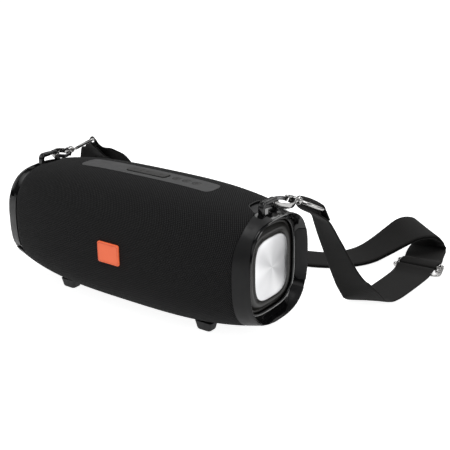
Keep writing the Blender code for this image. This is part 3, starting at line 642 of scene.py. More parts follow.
def surface_slab(name, low_x, high_x, half_y, corner, low, high, look, rows, cols, crown=0.0, ends=(1, 1)):
    """Rounded plate that follows the top of the barrel; ends choose which ends are rounded."""
    upper = []
    lower = []
    for x in spread(low_x, high_x, rows):
        pull = 0.0
        for near, used in ((x - low_x, ends[0]), (high_x - x, ends[1])):
            if used and near < corner:
                pull = max(pull, corner - math.sqrt(max(0.0, corner ** 2 - (corner - near) ** 2)))
        ys = spread(-(half_y - pull), half_y - pull, cols)
        upper.append([Vector((x, y, top_height(x, y) + high + crown * (1 - (y / half_y) ** 2))) for y in ys])
        lower.append([Vector((x, y, top_height(x, y) + low)) for y in ys])
    return slab(name, upper, lower, look)


def flat_mark(name, outline, look, centre, size, lift):
    """Thin raised mark on top of the barrel, given as a closed outline of unit points."""
    rings = []
    for height in (lift - MARK_THICK, lift):
        ring = []
        for px, py in outline:
            x = centre[0] + px * size
            y = centre[1] + py * size
            ring.append(Vector((x, y, top_height(x, y) + height)))
        rings.append(ring)
    return loft(name, rings, look)


def circle_band(name, centre, radius, thick, lift, look, start=0.0, end=math.tau, count=28):
    """Thin ring or arc mark on top of the barrel."""
    def arc(size, height):
        points = []
        for turn in spread(start, end, count):
            x = centre[0] + size * math.cos(turn)
            y = centre[1] + size * math.sin(turn)
            points.append(Vector((x, y, top_height(x, y) + height)))
        return points

    upper = [arc(radius + thick, lift), arc(radius, lift)]
    lower = [arc(radius + thick, lift - MARK_THICK), arc(radius, lift - MARK_THICK)]
    return slab(name, upper, lower, look)


def bar_shape(w, h):
    return [(-w, -h), (w, -h), (w, h), (-w, h)]


def mark_side_key(key, x):
    """Generic printed marks: a ring with a dot, two linked rings, or a broken ring with a bar."""
    lift = 0.00056
    marks = []
    if key == "pairing_key":
        round_dot = [(math.cos(t), math.sin(t)) for t in spread(0, 5.8, 12)]
        marks.append(circle_band(key + "_mark", (x, 0), 0.0011, 0.0003, lift, MARK))
        marks.append(flat_mark(key + "_dot", round_dot, MARK, (x, 0), 0.0004, lift))
    if key == "link_key":
        for j, shift in enumerate((-0.0007, 0.0007)):
            marks.append(circle_band("%s_mark_%d" % (key, j), (x + shift, 0), 0.0007, 0.0003, lift, MARK))
    if key == "power_key":
        marks.append(circle_band(key + "_mark", (x, 0), 0.0011, 0.0003, lift, MARK,
                                 math.radians(125), math.radians(415)))
        marks.append(flat_mark(key + "_bar", bar_shape(0.14, 0.6), MARK, (x, 0.0009), 0.0012, lift))
    for mark in marks:
        settle(mark, key, "panel_rubber")


def build_pad():
    """The raised middle pad: three keys side by side, each with its mark."""
    gap = 0.00012
    third = 2 * PAD_HALF_X / 3
    shapes = {
        "volume_down_key": [bar_shape(0.85, 0.16)],
        "play_key": [[(-0.7, -0.8), (0.7, 0.0), (-0.7, 0.8)]],
        "volume_up_key": [bar_shape(0.85, 0.16), bar_shape(0.16, 0.85)],
    }
    for i, key in enumerate(shapes):
        low = -PAD_HALF_X + third * i + (gap if i else 0.0)
        high = -PAD_HALF_X + third * (i + 1) - (gap if i < 2 else 0.0)
        cap = surface_slab(key + "_cap", low, high, PAD_HALF_Y, 0.0036, -0.0034, 0.0011, KEY_RUBBER, 25, 13,
                           crown=0.0003, ends=(i == 0, i == 2))
        bevel(cap, 0.0005, 3)
        settle(cap, key, "panel_rubber", key)
        for j, shape in enumerate(shapes[key]):
            mark = flat_mark("%s_mark_%d" % (key, j), shape, MARK, (0.5 * (low + high), 0), 0.0019, 0.00146)
            settle(mark, key, "panel_rubber")


def build_side_keys():
    for key, x in SIDE_KEYS:
        z = top_height(x, 0.0)
        rings = []
        for height, grow in ((-0.0030, 0.0), (0.0001, 0.0), (0.0004, -0.0004), (0.0005, -0.0012)):
            pairs = rounded_outline(0.0040 + grow, 0.0032 + grow, 0.0031 + grow, 8)
            rings.append([Vector((x + a, b, z + height - 0.6 * b * b)) for a, b in pairs])
        settle(loft(key + "_cap", rings, KEY_RUBBER), key, "panel_rubber", key)
        mark_side_key(key, x)


def build_panel():
    gap = 0.0007
    panel = surface_slab("control_strip", -PANEL_HALF_X, PANEL_HALF_X, PANEL_HALF_Y, 0.0062, -0.0030, 0.0004,
                         RUBBER, 77, 17)
    cutters = [prism("pad_cut", (0, 0), PAD_HALF_X + gap, PAD_HALF_Y + gap, 0.0040, 0.110, 0.130, INNER)]
    for _, x in SIDE_KEYS:
        cutters.append(prism("key_cut", (x, 0), 0.0043, 0.0035, 0.0034, 0.110, 0.130, INNER))
    carve(panel, cutters)
    settle(bevel(panel, 0.00035, 2), "cabinet", "panel_rubber", "control_panel")
    build_pad()
    build_side_keys()


def build_badge():
    half_x = 0.01215
    half_z = 0.0096
    corner = 0.0016
    middle = AXIS_Z + 0.001

    def sheet(inset, lift, rows, cols):
        result = []
        hx = half_x - inset
        hz = half_z - inset
        c = max(0.0004, corner - inset)
        for x in spread(-hx, hx, rows):
            near = hx - abs(x)
            pull = c - math.sqrt(max(0.0, c * c - (c - near) ** 2)) if near < c else 0.0
            zs = spread(middle - hz + pull, middle + hz - pull, cols)
            result.append([Vector((x, front_depth(x, z, lift), z)) for z in zs])
        return result

    badge = slab("badge_plate", sheet(0.0, 0.0019, 41, 25), sheet(0.0, 0.0001, 41, 25), ORANGE)
    bevel(badge, 0.0005, 3)
    settle(badge, "cabinet", "badge_orange", "front_badge")
    rim = []
    for inset, lift in ((0.0009, 0.0018), (0.0009, 0.00205), (0.0013, 0.00205), (0.0013, 0.0018)):
        ring = []
        for x, z in rounded_outline(half_x - inset, half_z - inset, 0.0012, 6):
            ring.append(Vector((x, front_depth(x, middle + z, lift), middle + z)))
        rim.append(ring)
    settle(hoop("badge_border", rim, ORANGE_EDGE), "cabinet", "badge_orange")


def build_feet():
    for sx, a in ((-1, "left"), (1, "right")):
        for sy, b in ((-1, "front"), (1, "rear")):
            x = sx * FOOT_X
            y = sy * FOOT_Y
            rings = []
            for z, grow in ((0.0, -0.0028), (0.0003, -0.0023), (0.0011, -0.0018), (0.0080, 0.0)):
                pairs = rounded_outline(0.0092 + grow, 0.0058 + grow * 0.45, 0.0022, 6)
                rings.append([Vector((x + p, y + q, z)) for p, q in pairs])
            foot = loft("%s_%s_foot_block" % (a, b), rings, FOOT)
            settle(foot, "cabinet", "satin_plastic", "%s_%s_foot" % (a, b))


# ------------------------------------------------------------------ ends

def flip(side, p):
    """The right end's point, or for the left end the same point half a turn round the vertical."""
    return Vector((side * p.x, side * p.y, p.z))


# Rows of the right end moulding's profile: s, x, and the section's scale (None: the barrel's own taper).
PROFILE = [(0.00, SEAM_X + 0.0002, None), (0.30, 0.1335, None), (0.50, 0.1400, None), (0.56, 0.1416, 0.778),
           (0.60, 0.1424, 0.768), (0.64, 0.1425, 0.756), (0.69, 0.1417, 0.742), (0.80, 0.1388, 0.710),
           (0.92, 0.1340, 0.668), (1.00, OPENING_X, OPENING + 0.008)]


def squareness(k):
    """The outline grows squarer from the seam to the opening."""
    return SQUARENESS + 0.75 * min(1.0, max(0.0, (0.80 - k) / 0.16))


def end_point(s, turn, drop=0.0):
    """Point on the right end moulding: s 0 at the seam, 1 at the opening; drop sinks it."""
    for a, b in zip(PROFILE, PROFILE[1:]):
        if s <= b[0]:
            break
    t = (s - a[0]) / (b[0] - a[0])
    ka = taper(a[1]) if a[2] is None else a[2]
    kb = taper(b[1]) if b[2] is None else b[2]
    x = a[1] + (b[1] - a[1]) * t
    k = ka + (kb - ka) * t
    wall = min(1.0, max(0.0, (s - 0.50) / 0.16))
    outward = 1.0 - 1.45 * wall
    ry = HALF_DEPTH * k - drop * outward
    rz = HALF_HEIGHT * k - drop * outward
    return super_point(x - drop * 0.9 * wall, ry, rz, turn, squareness(k))


def build_end(side, tag):
    square = squareness(OPENING)
    rings = []
    for s in spread(0.0, 1.0, 41):
        drop = 0.0018 if s < 0.46 else 0.0007
        rings.append([flip(side, end_point(s, t, drop)) for t in ROUND])
    ry = HALF_DEPTH * OPENING
    rz = HALF_HEIGHT * OPENING
    for x, r in ((0.1304, 0.0), (0.1280, 0.0), (0.1272, 0.0015), (SEAM_X + 0.0002, 0.0035)):
        rings.append([flip(side, super_point(x, ry + r, rz + r, t, square)) for t in ROUND])
    settle(hoop("%s_end_shell" % tag, rings, GLOSS), "cabinet", "gloss_plastic", "%s_end_frame" % tag)
    lip = []
    for turn in spread(0.0, math.tau * 11 / 12, 12):
        x = OPENING_X + 0.0004 + 0.0008 * math.sin(turn)
        grow = 0.0006 + 0.0009 * math.cos(turn)
        lip.append([flip(side, super_point(x, ry + grow, rz + grow, t, square)) for t in ROUND])
    settle(hoop("%s_opening_lip" % tag, lip, GLOSS), "cabinet", "gloss_plastic")
    # Painted reflection: a light grey strip along the lower front of the opening's lip stands in for the
    # bright floor mirrored in the glossy lip; it is not a separate trim part.
    count = 40
    arc = []
    for degrees in spread(-118.0, 12.0, count):
        p = super_point(OPENING_X + 0.0010, ry + 0.0014, rz + 0.0014, math.radians(degrees), square)
        arc.append(flip(side, p))
    sizes = [0.0001 + 0.00050 * math.sin(math.pi * (i + 0.5) / count) ** 0.5 for i in range(count)]
    glint_strip = tube("%s_opening_glint_strip" % tag, arc, sizes, LIP_GLINT, 10, hint=Vector((1, 0, 0)))
    settle(glint_strip, "cabinet", "gloss_plastic")


def bumper(name, side, low_turn, high_turn, look, cols, shape):
    """Satin overlay on the end moulding between two angles; shape gives its span of s at each angle."""
    rows = 33
    thick = 0.0016
    upper = []
    lower = []
    for turn in spread(math.radians(low_turn), math.radians(high_turn), cols):
        a, b = shape(math.degrees(turn))
        top_row = []
        low_row = []
        for s in spread(a, b, rows):
            top_row.append(flip(side, end_point(s, turn)))
            low_row.append(flip(side, end_point(s, turn, thick)))
        upper.append(top_row)
        lower.append(low_row)
    return slab(name, upper, lower, look)


# Outer edge of the satin moulding: angle in degrees and s.
SATIN_EDGE = [(70, 0.40), (96, 0.50), (98, 0.55), (105, 0.525), (111, 0.49), (120, 0.465), (137, 0.465),
              (155, 0.505), (171, 0.545), (197, 0.585), (222, 0.60), (232, 0.54), (256, 0.46)]


def build_bumpers(side, tag):
    wide = "front" if side > 0 else "rear"
    other = "rear" if side > 0 else "front"
    x_per_s = 0.0293

    def cloth_edge(turn):
        """Value of s where the moulding starts. The left end takes the cloth's reach from half a turn
        round, which is not the mirrored angle, so at its top the moulding starts clear of the cloth."""
        angle = math.radians(turn if side > 0 else turn + 180.0)
        return (reach(side, angle) + 0.0002) / x_per_s

    def wide_span(turn):
        high = 0.60
        for (a, low), (b, top) in zip(SATIN_EDGE, SATIN_EDGE[1:]):
            if a <= turn <= b:
                high = low + (top - low) * (turn - a) / (b - a)
        return cloth_edge(turn), high

    def tail_span(turn):
        along = (turn + 100) / 64
        high = 0.50 + 0.46 * math.sin(math.pi * min(1.0, max(0.0, along)) * 0.55)
        return cloth_edge(turn), high

    def rear_span(turn):
        edge = max(0.0, (abs(turn) - 19) / 6)
        return cloth_edge(turn) + 0.02 * edge, 0.94 - 0.10 * edge

    start = 70 if side < 0 else 97
    main = bumper("%s_%s_bumper_skin" % (tag, wide), side, start, 256, SATIN, 121, wide_span)
    recess = block("recess_cut", (side * (SEAM_X - 0.001), -0.0168, 0.100), (side * 0.1345, 0.0168, 0.130), 2,
                   SATIN)
    carve(main, [bevel(recess, 0.002, 3)])
    bevel(main, 0.0006, 2, 35)
    settle(main, "cabinet", "satin_plastic", "%s_%s_bumper" % (tag, wide))
    tail = bumper("%s_under_bumper" % tag, side, -100, -34, SATIN_LIGHT, 41, tail_span)
    settle(bevel(tail, 0.0006, 2, 35), "cabinet", "satin_plastic")
    rear = bumper("%s_%s_bumper_skin" % (tag, other), side, -24, 24, SATIN_LIGHT, 41, rear_span)
    settle(bevel(rear, 0.0006, 2, 35), "cabinet", "satin_plastic", "%s_%s_bumper" % (tag, other))


def build_radiator(side, tag):
    """Rubber roll round a turned metal plate."""
    ry = HALF_DEPTH * OPENING
    rz = HALF_HEIGHT * OPENING
    square = squareness(OPENING)
    # x, and how far from the opening (0) to the plate (1)
    top = [(0.1296, 0.0), (0.1300, 0.06), (0.1303, 0.14), (0.1302, 0.20), (0.1309, 0.27), (0.1321, 0.36),
           (0.1329, 0.47), (0.1333, 0.58), (0.1332, 0.70), (0.1327, 0.81), (0.1324, 0.88), (0.1330, 0.94),
           (0.1336, 1.0)]
    wall = 0.0012
    rows = top + [(x - wall, t) for x, t in reversed(top)]
    rings = []
    for x, t in rows:
        a = ry - 0.0003 + (PLATE_Y + 0.0001 - ry) * t
        b = rz - 0.0003 + (PLATE_Z + 0.0001 - rz) * t
        rings.append([flip(side, super_point(x, a, b, turn, square + 0.1 * t)) for turn in ROUND])
    roll = hoop("%s_radiator_roll" % tag, rings, ROLL)
    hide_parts("%s_radiator_surround" % tag)
    blend(roll)
    rings = []
    for x, pull in ((-0.0016, 0.0), (-0.0001, 0.0), (0.0001, 0.0002), (0.0002, 0.0007), (0.0002, 0.006),
                    (0.0002, 0.014), (0.0002, 0.0225)):
        rings.append([flip(side, super_point(PLATE_X + x, PLATE_Y - pull, PLATE_Z - pull, t, square + 0.1))
                      for t in ROUND])
    settle(loft("%s_radiator_disc" % tag, rings, TURNED), "%s_radiator" % tag, "bright_metal",
           "%s_radiator_plate" % tag)


def unit_section(sides=20):
    """Flat bar's section with round corners, in unit size."""
    section = []
    for j in range(sides):
        a = math.tau * j / sides
        p = math.copysign(abs(math.cos(a)) ** 0.5, math.cos(a))
        q = math.copysign(abs(math.sin(a)) ** 0.5, math.sin(a))
        section.append((p, q))
    return section


BAR_SECTION = unit_section()


def build_lug(side, tag):
    """Arched bar over the recess, with a shallow waist, on a tray with a satin rim."""
    front_y = -0.0086
    leg_y = 0.0122
    top_z = 0.1191
    foot_z = 0.1085
    turn_r = 0.0042
    half_wide = 0.0027
    half_high = 0.0019
    path = [(leg_y, foot_z), (leg_y, foot_z + 0.004), (leg_y, top_z - turn_r)]
    for i in range(1, 7):
        a = math.pi / 2 * i / 6
        path.append((leg_y - turn_r + turn_r * math.cos(a), top_z - turn_r + turn_r * math.sin(a)))
    path += [(0.0056, top_z), (0.0050, top_z), (0.0, top_z)]
    other = [(front_y * y / leg_y, z) for y, z in reversed(path[:-1])]
    centre = [Vector((side * LUG_X, y, z)) for y, z in path + other]
    rings = []
    n = len(centre)
    wide = Vector((1, 0, 0))
    for i, c in enumerate(centre):
        ahead = (centre[min(n - 1, i + 1)] - centre[max(0, i - 1)]).normalized()
        out = ahead.cross(wide).normalized()
        slim = 0.80 if 0.0049 < -c.y * side < 0.0057 else 1.0
        ring = []
        for p, q in BAR_SECTION:
            ring.append(c + wide * (p * half_wide * slim) + out * (q * half_high * slim))
        rings.append(ring)
    settle(loft("%s_lug_arch" % tag, rings, LUG_LOOK), "cabinet", "satin_plastic", "%s_lug_bar" % tag)
    bed = []
    for x in spread(0.1128, 0.1375, 9):
        ys = spread(-0.0172, 0.0182, 17)
        bed.append([Vector((side * x, y, top_height(x, y) - 0.0022)) for y in ys])
    under = [[p - Vector((0, 0, 0.0010)) for p in row] for row in bed]
    settle(slab("%s_lug_bed" % tag, bed, under, BED), "cabinet", "gloss_plastic")
    rim = [(0.1256, -0.0135), (0.1202, -0.0108), (0.1156, -0.0074), (0.1142, -0.0030), (0.1142, 0.0060),
           (0.1156, 0.0106), (0.1202, 0.0146), (0.1256, 0.0161)]
    line = [Vector((side * x, y, top_height(x, y) - 0.0004)) for x, y in rim]
    settle(tube("%s_lug_rim" % tag, curve_through(line, 4), 0.0007, SATIN, 10), "cabinet", "satin_plastic")


# ------------------------------------------------------------------ clasps

def lathe(name, base, axis, profile, look, sides=24):
    """Turned piece: profile gives (distance along the axis, radius)."""
    w = axis.normalized()
    u = (Vector((0, 0, 1)) if abs(w.z) < 0.9 else Vector((1, 0, 0))).cross(w).normalized()
    v = w.cross(u)
    rings = []
    for along, radius in profile:
        c = base + w * along
        rings.append([c + (u * math.cos(math.tau * j / sides) + v * math.sin(math.tau * j / sides)) * radius
                      for j in range(sides)])
    return loft(name, rings, look, 50)


def band(name, path, half_thick, half_high, up, look):
    """Flat bar bent along a path, its width standing along up."""
    rings = []
    last = len(path) - 1
    for i, here in enumerate(path):
        ahead = (path[min(last, i + 1)] - path[max(0, i - 1)]).normalized()
        aside = up.cross(ahead).normalized()
        rings.append([here + aside * (p * half_thick) + up * (q * half_high) for p, q in BAR_SECTION])
    return loft(name, rings, look, 50)


def build_hook(side, tag, ball):
    """Snap hook from the lug towards its swivel ball: a flat oval band, a barrel, a knob and the gate."""
    hinge = Vector((side * LUG_X, HINGE_Y, HINGE_Z))
    along = (ball - hinge).normalized()
    across = along.cross(Vector((0, 0, 1))).normalized()
    up = across.cross(along).normalized()
    tilt = math.radians(16)
    across, up = across * math.cos(tilt) - up * math.sin(tilt), up * math.cos(tilt) + across * math.sin(tilt)

    def at(t, s, h=0.0):
        return hinge + along * t + across * s + up * h

    middle = 0.0096
    half = 0.0070
    points = []
    for degrees in spread(-28.0, 214.0, 25):
        turn = math.radians(degrees)
        points.append(at(middle - math.cos(turn) * 0.0126, math.sin(turn) * half * side, -0.0008))
    points.reverse()
    loop = band("%s_hook_band" % tag, points, 0.0008, 0.0026, up, CHROME)
    length = (ball - hinge).length
    barrel = lathe("%s_hook_barrel" % tag, at(0.0206, 0), along,
                   [(0.0, 0.0020), (0.0002, 0.0031), (0.0010, 0.0034), (0.0022, 0.0034), (0.0028, 0.0024),
                    (0.0036, 0.0024), (length - 0.0262, 0.0024), (length - 0.0256, 0.0018)], CHROME)
    knob = lathe("%s_hook_knob" % tag, at(length - 0.0052, 0), along,
                 [(0.0, 0.0019), (0.0006, 0.0030), (0.0018, 0.0036), (0.0034, 0.0036), (0.0046, 0.0028),
                  (0.0052, 0.0012)], CHROME)
    join(loop, [barrel, knob])
    settle(loop, "%s_hook" % tag, "chrome", "%s_hook_body" % tag)
    start = at(0.0178, -half * side * 0.72)
    lever = []
    for degrees in spread(-142.0, -30.0, 9):
        turn = math.radians(degrees)
        lever.append(at(middle - math.cos(turn) * 0.0116, math.sin(turn) * half * side * 0.93, -0.0004))
    gate = band("%s_gate_lever" % tag, lever, 0.0006, 0.0019, up, STEEL)
    pin = lathe("%s_gate_pin" % tag, start - up * 0.0026, up,
                [(0.0, 0.0012), (0.0003, 0.0017), (0.0049, 0.0017), (0.0052, 0.0012)], CHROME, 16)
    join(gate, [pin])
    settle(gate, "%s_gate" % tag, "chrome", "%s_hook_gate" % tag)


def build_ring(tag, ball, bar, w):
    """D-shaped wire: a straight bar for the webbing and a bow round the hook's ball."""
    wide = BAR_HALF if tag == "left" else BAR_HALF - 0.0040
    u = (bar - ball).normalized()
    u = (u - w * u.dot(w)).normalized()
    points = [bar + w * wide * f for f in (0.96, 0.5, 0.0, -0.5, -0.96)]
    points.append(bar - w * (wide + 0.0012) - u * 0.0022)
    for i in range(1, 8):
        turn = math.pi * i / 8
        points.append(bar - w * (wide * math.cos(turn)) * 0.98
                      - u * (0.0050 + 0.0152 * math.sin(turn) ** 0.8)
                      - Vector((0, 0, 0.0014 * math.sin(turn))))
    points.append(bar + w * (wide + 0.0012) - u * 0.0022)
    ring = tube("%s_ring_wire" % tag, curve_through(points, 5, closed=True), 0.0016, CHROME, closed=True,
                hint=w.cross(u))
    settle(ring, "%s_ring" % tag, "chrome", "%s_swivel_ring" % tag)


# ------------------------------------------------------------------ strap

def stations_through(points, steps):
    """More (centre, width direction) stations, smoothly between the given ones."""
    centres = curve_through([Vector(c) for c, _ in points], steps)
    widths = curve_through([Vector(w) for _, w in points], steps)
    return list(zip(centres, widths))


def framed(stations):
    """Turn (centre, width) stations into (centre, width, normal, distance along)."""
    result = []
    n = len(stations)
    walked = 0.0
    for i, (centre, width) in enumerate(stations):
        before = stations[max(0, i - 1)][0]
        after = stations[min(n - 1, i + 1)][0]
        ahead = (after - before).normalized()
        w = (width - ahead * width.dot(ahead)).normalized()
        if i:
            walked += (centre - stations[i - 1][0]).length
        result.append((centre, w, ahead.cross(w).normalized(), walked))
    return result


def width_at(walked, place):
    """The webbing gathers a little where it is folded over each ring."""
    right = 0.89 + 0.11 * min(1.0, max(0.0, (walked - 0.022) / 0.030))
    left = 0.72 + 0.28 * min(1.0, max(0.0, ((place - LEFT_BAR).length - 0.004) / 0.024))
    return right * left


def fold_swell(place, w):
    """The fold over the right ring stands proud along its middle."""
    extent = 0.022
    out = place - RIGHT_BAR
    out = out - w * out.dot(w)
    if out.length > extent:
        return Vector((0, 0, 0))
    return out.normalized() * 0.0017 * (1.0 - out.length / extent)


def ribbon(name, frames):
    """Webbing with rounded selvedges, carried along framed stations, with strap coordinates."""
    across = [1.0, 0.985, 0.95, 0.85, 0.6, 0.3, 0.0, -0.3, -0.6, -0.85, -0.95, -0.985, -1.0]
    rise = [0.0, 0.62, 0.9, 1.0, 1.0, 1.0, 1.0, 1.0, 1.0, 1.0, 0.9, 0.62, 0.0]
    pairs = list(zip(across, rise)) + [(a, -r) for a, r in list(zip(across, rise))[-2:0:-1]]
    verts = []
    coords = []
    for c, w, nrm, walked in frames:
        wide = STRAP_HALF * width_at(walked, c)
        swell = fold_swell(c, w)
        for a, r in pairs:
            verts.append(c + nrm * (r * STRAP_THICK / 2) + w * (a * wide) + swell * (1.0 - a * a))
            coords.append((a * STRAP_HALF, walked))
    n = len(pairs)
    faces = []
    for k in range(len(frames) - 1):
        for i in range(n):
            j = (i + 1) % n
            faces.append((k * n + i, k * n + j, (k + 1) * n + j, (k + 1) * n + i))
    faces.append(tuple(range(n)))
    faces.append(tuple((len(frames) - 1) * n + i for i in range(n)))
    item = make(name, verts, faces, WEBBING, 50)
    layer = item.data.uv_layers.new(name="strap")
    for loop in item.data.loops:
        layer.data[loop.index].uv = coords[loop.vertex_index]
    return item


def fold_points(bar, w, toward, tip, tail):
    """Stations over a ring bar: up one side from tip, round the bar and down the other side."""
    u = (toward - w * toward.dot(w)).normalized()
    flat = u.cross(w).normalized()
    r = 0.0019 + 0.0002 + STRAP_THICK / 2
    points = []
    for t in (tip, 0.66 * tip, 0.33 * tip, 0.0):
        points.append((bar - flat * r + u * t, w))
    for i in range(1, 6):
        a = math.pi * i / 6
        points.append((bar - flat * r * math.cos(a) - u * r * math.sin(a), w))
    for t in (0.0, tail):
        points.append((bar + flat * r + u * t, w))
    return points


def nearest(frames, spot):
    """Number of the frame whose centre is closest to a place."""
    spot = Vector(spot)
    return min(range(len(frames)), key=lambda i: (frames[i][0] - spot).length)


# The strap after its fold over the right ring: centre, and direction across the webbing. It runs down to
# the floor, through the slider, over the crest, along the back to the left ring, and back under itself.
# These rows were fitted outside this script and pasted in; they are not worked out here.
STRAP_RUN = [
    ((0.1385, 0.0678, 0.0873), (0.857, -0.510, 0.074)),
    ((0.1418, 0.0705, 0.0794), (0.843, -0.511, 0.166)),
    ((0.1461, 0.0737, 0.0663), (0.840, -0.466, 0.277)),
    ((0.1527, 0.0756, 0.0517), (0.851, -0.401, 0.338)),
    ((0.1596, 0.0782, 0.0362), (0.874, -0.323, 0.363)),
    ((0.1659, 0.0820, 0.0232), (0.879, -0.200, 0.433)),
    ((0.1718, 0.0862, 0.0144), (0.911, -0.031, 0.411)),
    ((0.1735, 0.0973, 0.0050), (0.977, 0.021, 0.214)),
    ((0.1743, 0.1104, 0.0024), (0.996, -0.059, 0.073)),
    ((0.1764, 0.1222, 0.0017), (0.999, -0.030, 0.046)),
    ((0.1767, 0.1422, 0.0015), (1.000, -0.003, 0.028)),
    ((0.1767, 0.1630, 0.0014), (1.000, 0.018, 0.025)),
    ((0.1761, 0.1800, 0.0013), (0.998, 0.053, 0.014)),
    ((0.1757, 0.1885, 0.0026), (0.996, 0.070, 0.0)),
    ((0.1754, 0.1952, 0.0044), (0.995, 0.090, 0.0)),
    ((0.1749, 0.2022, 0.0022), (0.994, 0.112, 0.0)),
    ((0.1740, 0.2092, 0.0044), (0.992, 0.130, 0.0)),
    ((0.1720, 0.2190, 0.0018), (0.981, 0.195, 0.0)),
    ((0.1672, 0.2333, 0.0012), (0.971, 0.238, -0.014)),
    ((0.1623, 0.2501, 0.0010), (0.985, 0.171, 0.001)),
    ((0.1617, 0.2554, 0.0064), (0.992, -0.115, 0.054)),
    ((0.1616, 0.2542, 0.0163), (0.939, -0.332, -0.091)),
    ((0.1603, 0.2474, 0.0258), (0.883, -0.416, -0.217)),
    ((0.1552, 0.2356, 0.0301), (0.850, -0.463, -0.251)),
    ((0.1482, 0.2252, 0.0289), (0.837, -0.489, -0.245)),
    ((0.1399, 0.2149, 0.0223), (0.834, -0.530, -0.152)),
    ((0.1307, 0.2037, 0.0145), (0.813, -0.579, -0.057)),
    ((0.1216, 0.1926, 0.0081), (0.769, -0.638, -0.024)),
    ((0.1112, 0.1820, 0.0046), (0.714, -0.700, -0.002)),
    ((0.0993, 0.1712, 0.0035), (0.627, -0.779, 0.018)),
    ((0.0805, 0.1593, 0.0034), (0.478, -0.878, 0.023)),
    ((0.0197, 0.1411, 0.0034), (0.284, -0.958, 0.028)),
    ((-0.0280, 0.1330, 0.0070), (0.25, -0.96, 0.0)),
    ((-0.0580, 0.1180, 0.0280), (0.40, -0.90, 0.0)),
    ((-0.0760, 0.1070, 0.0470), (0.70, -0.55, 0.30)),
    ((-0.1128, 0.0850, 0.0759), (0.60, 0.55, 0.58)),
    ((-0.1138, 0.0765, 0.0872), (0.68, 0.42, 0.59)),
    ((-0.1146, 0.0695, 0.0969), (0.76, 0.25, 0.60)),
    ((-0.1162, 0.0640, 0.1051), (0.82, 0.01, 0.57)),
    ((-0.1183, 0.0600, 0.1118), (0.83, -0.25, 0.49)),
    ((-0.1197, 0.0580, 0.1175), (0.75, -0.56, 0.35)),
    ((-0.1214, 0.0580, 0.1218), (0.68, -0.69, 0.26)),
    ((-0.1232, 0.0570, 0.1240), (0.68, -0.69, 0.26)),
    ((-0.1244, 0.0551, 0.1219), (0.68, -0.69, 0.26)),
    ((-0.1238, 0.0541, 0.1177), (0.79, -0.56, 0.25)),
    ((-0.1224, 0.0560, 0.1111), (0.96, -0.23, 0.15)),
    ((-0.1235, 0.0590, 0.1055), (0.99, 0.11, 0.06)),
    ((-0.1253, 0.0635, 0.0982), (0.93, 0.37, -0.02)),
    ((-0.1284, 0.0700, 0.0880), (0.84, 0.54, -0.07)),
    ((-0.1290, 0.0860, 0.0620), (0.87, 0.49, 0.0)),
    ((-0.1200, 0.0980, 0.0320), (0.93, 0.30, 0.0)),
    ((-0.0980, 0.1080, 0.0090), (0.90, -0.42, 0.0)),
    ((-0.0600, 0.1210, 0.0013), (0.55, -0.83, 0.0)),
    ((-0.0200, 0.1340, 0.0012), (0.20, -0.98, 0.0)),
    ((0.0197, 0.1411, 0.0012), (0.284, -0.968, 0.029)),
    ((0.0805, 0.1593, 0.0012), (0.478, -0.935, 0.026)),
    ((0.0993, 0.1712, 0.0013), (0.627, -0.804, 0.016)),
    ((0.1114, 0.1822, 0.0022), (0.714, -0.720, -0.008)),
    ((0.1223, 0.1935, 0.0054), (0.751, -0.660, -0.035)),
    ((0.1314, 0.2048, 0.0118), (0.794, -0.604, -0.073)),
    ((0.1403, 0.2163, 0.0197), (0.817, -0.552, -0.167)),
    ((0.1481, 0.2264, 0.0261), (0.821, -0.512, -0.254)),
    ((0.1544, 0.2356, 0.0273), (0.837, -0.488, -0.248)),
    ((0.1591, 0.2461, 0.0234), (0.874, -0.445, -0.196)),
    ((0.1607, 0.2520, 0.0154), (0.938, -0.339, -0.073)),
    ((0.1613, 0.2529, 0.0071), (0.991, -0.109, 0.078)),
    ((0.1624, 0.2496, 0.0035), (0.971, 0.238, 0.017)),
    ((0.1672, 0.2333, 0.0038), (0.960, 0.279, -0.015)),
    ((0.1720, 0.2190, 0.0040), (0.981, 0.195, 0.0)),
    ((0.1740, 0.2092, 0.0066), (0.992, 0.130, 0.0)),
    ((0.1748, 0.2040, 0.0070), (0.994, 0.112, 0.0)),
    ((0.1752, 0.2000, 0.0060), (0.995, 0.100, 0.0)),
    ((0.1753, 0.1992, 0.0042), (0.995, 0.100, 0.0))]


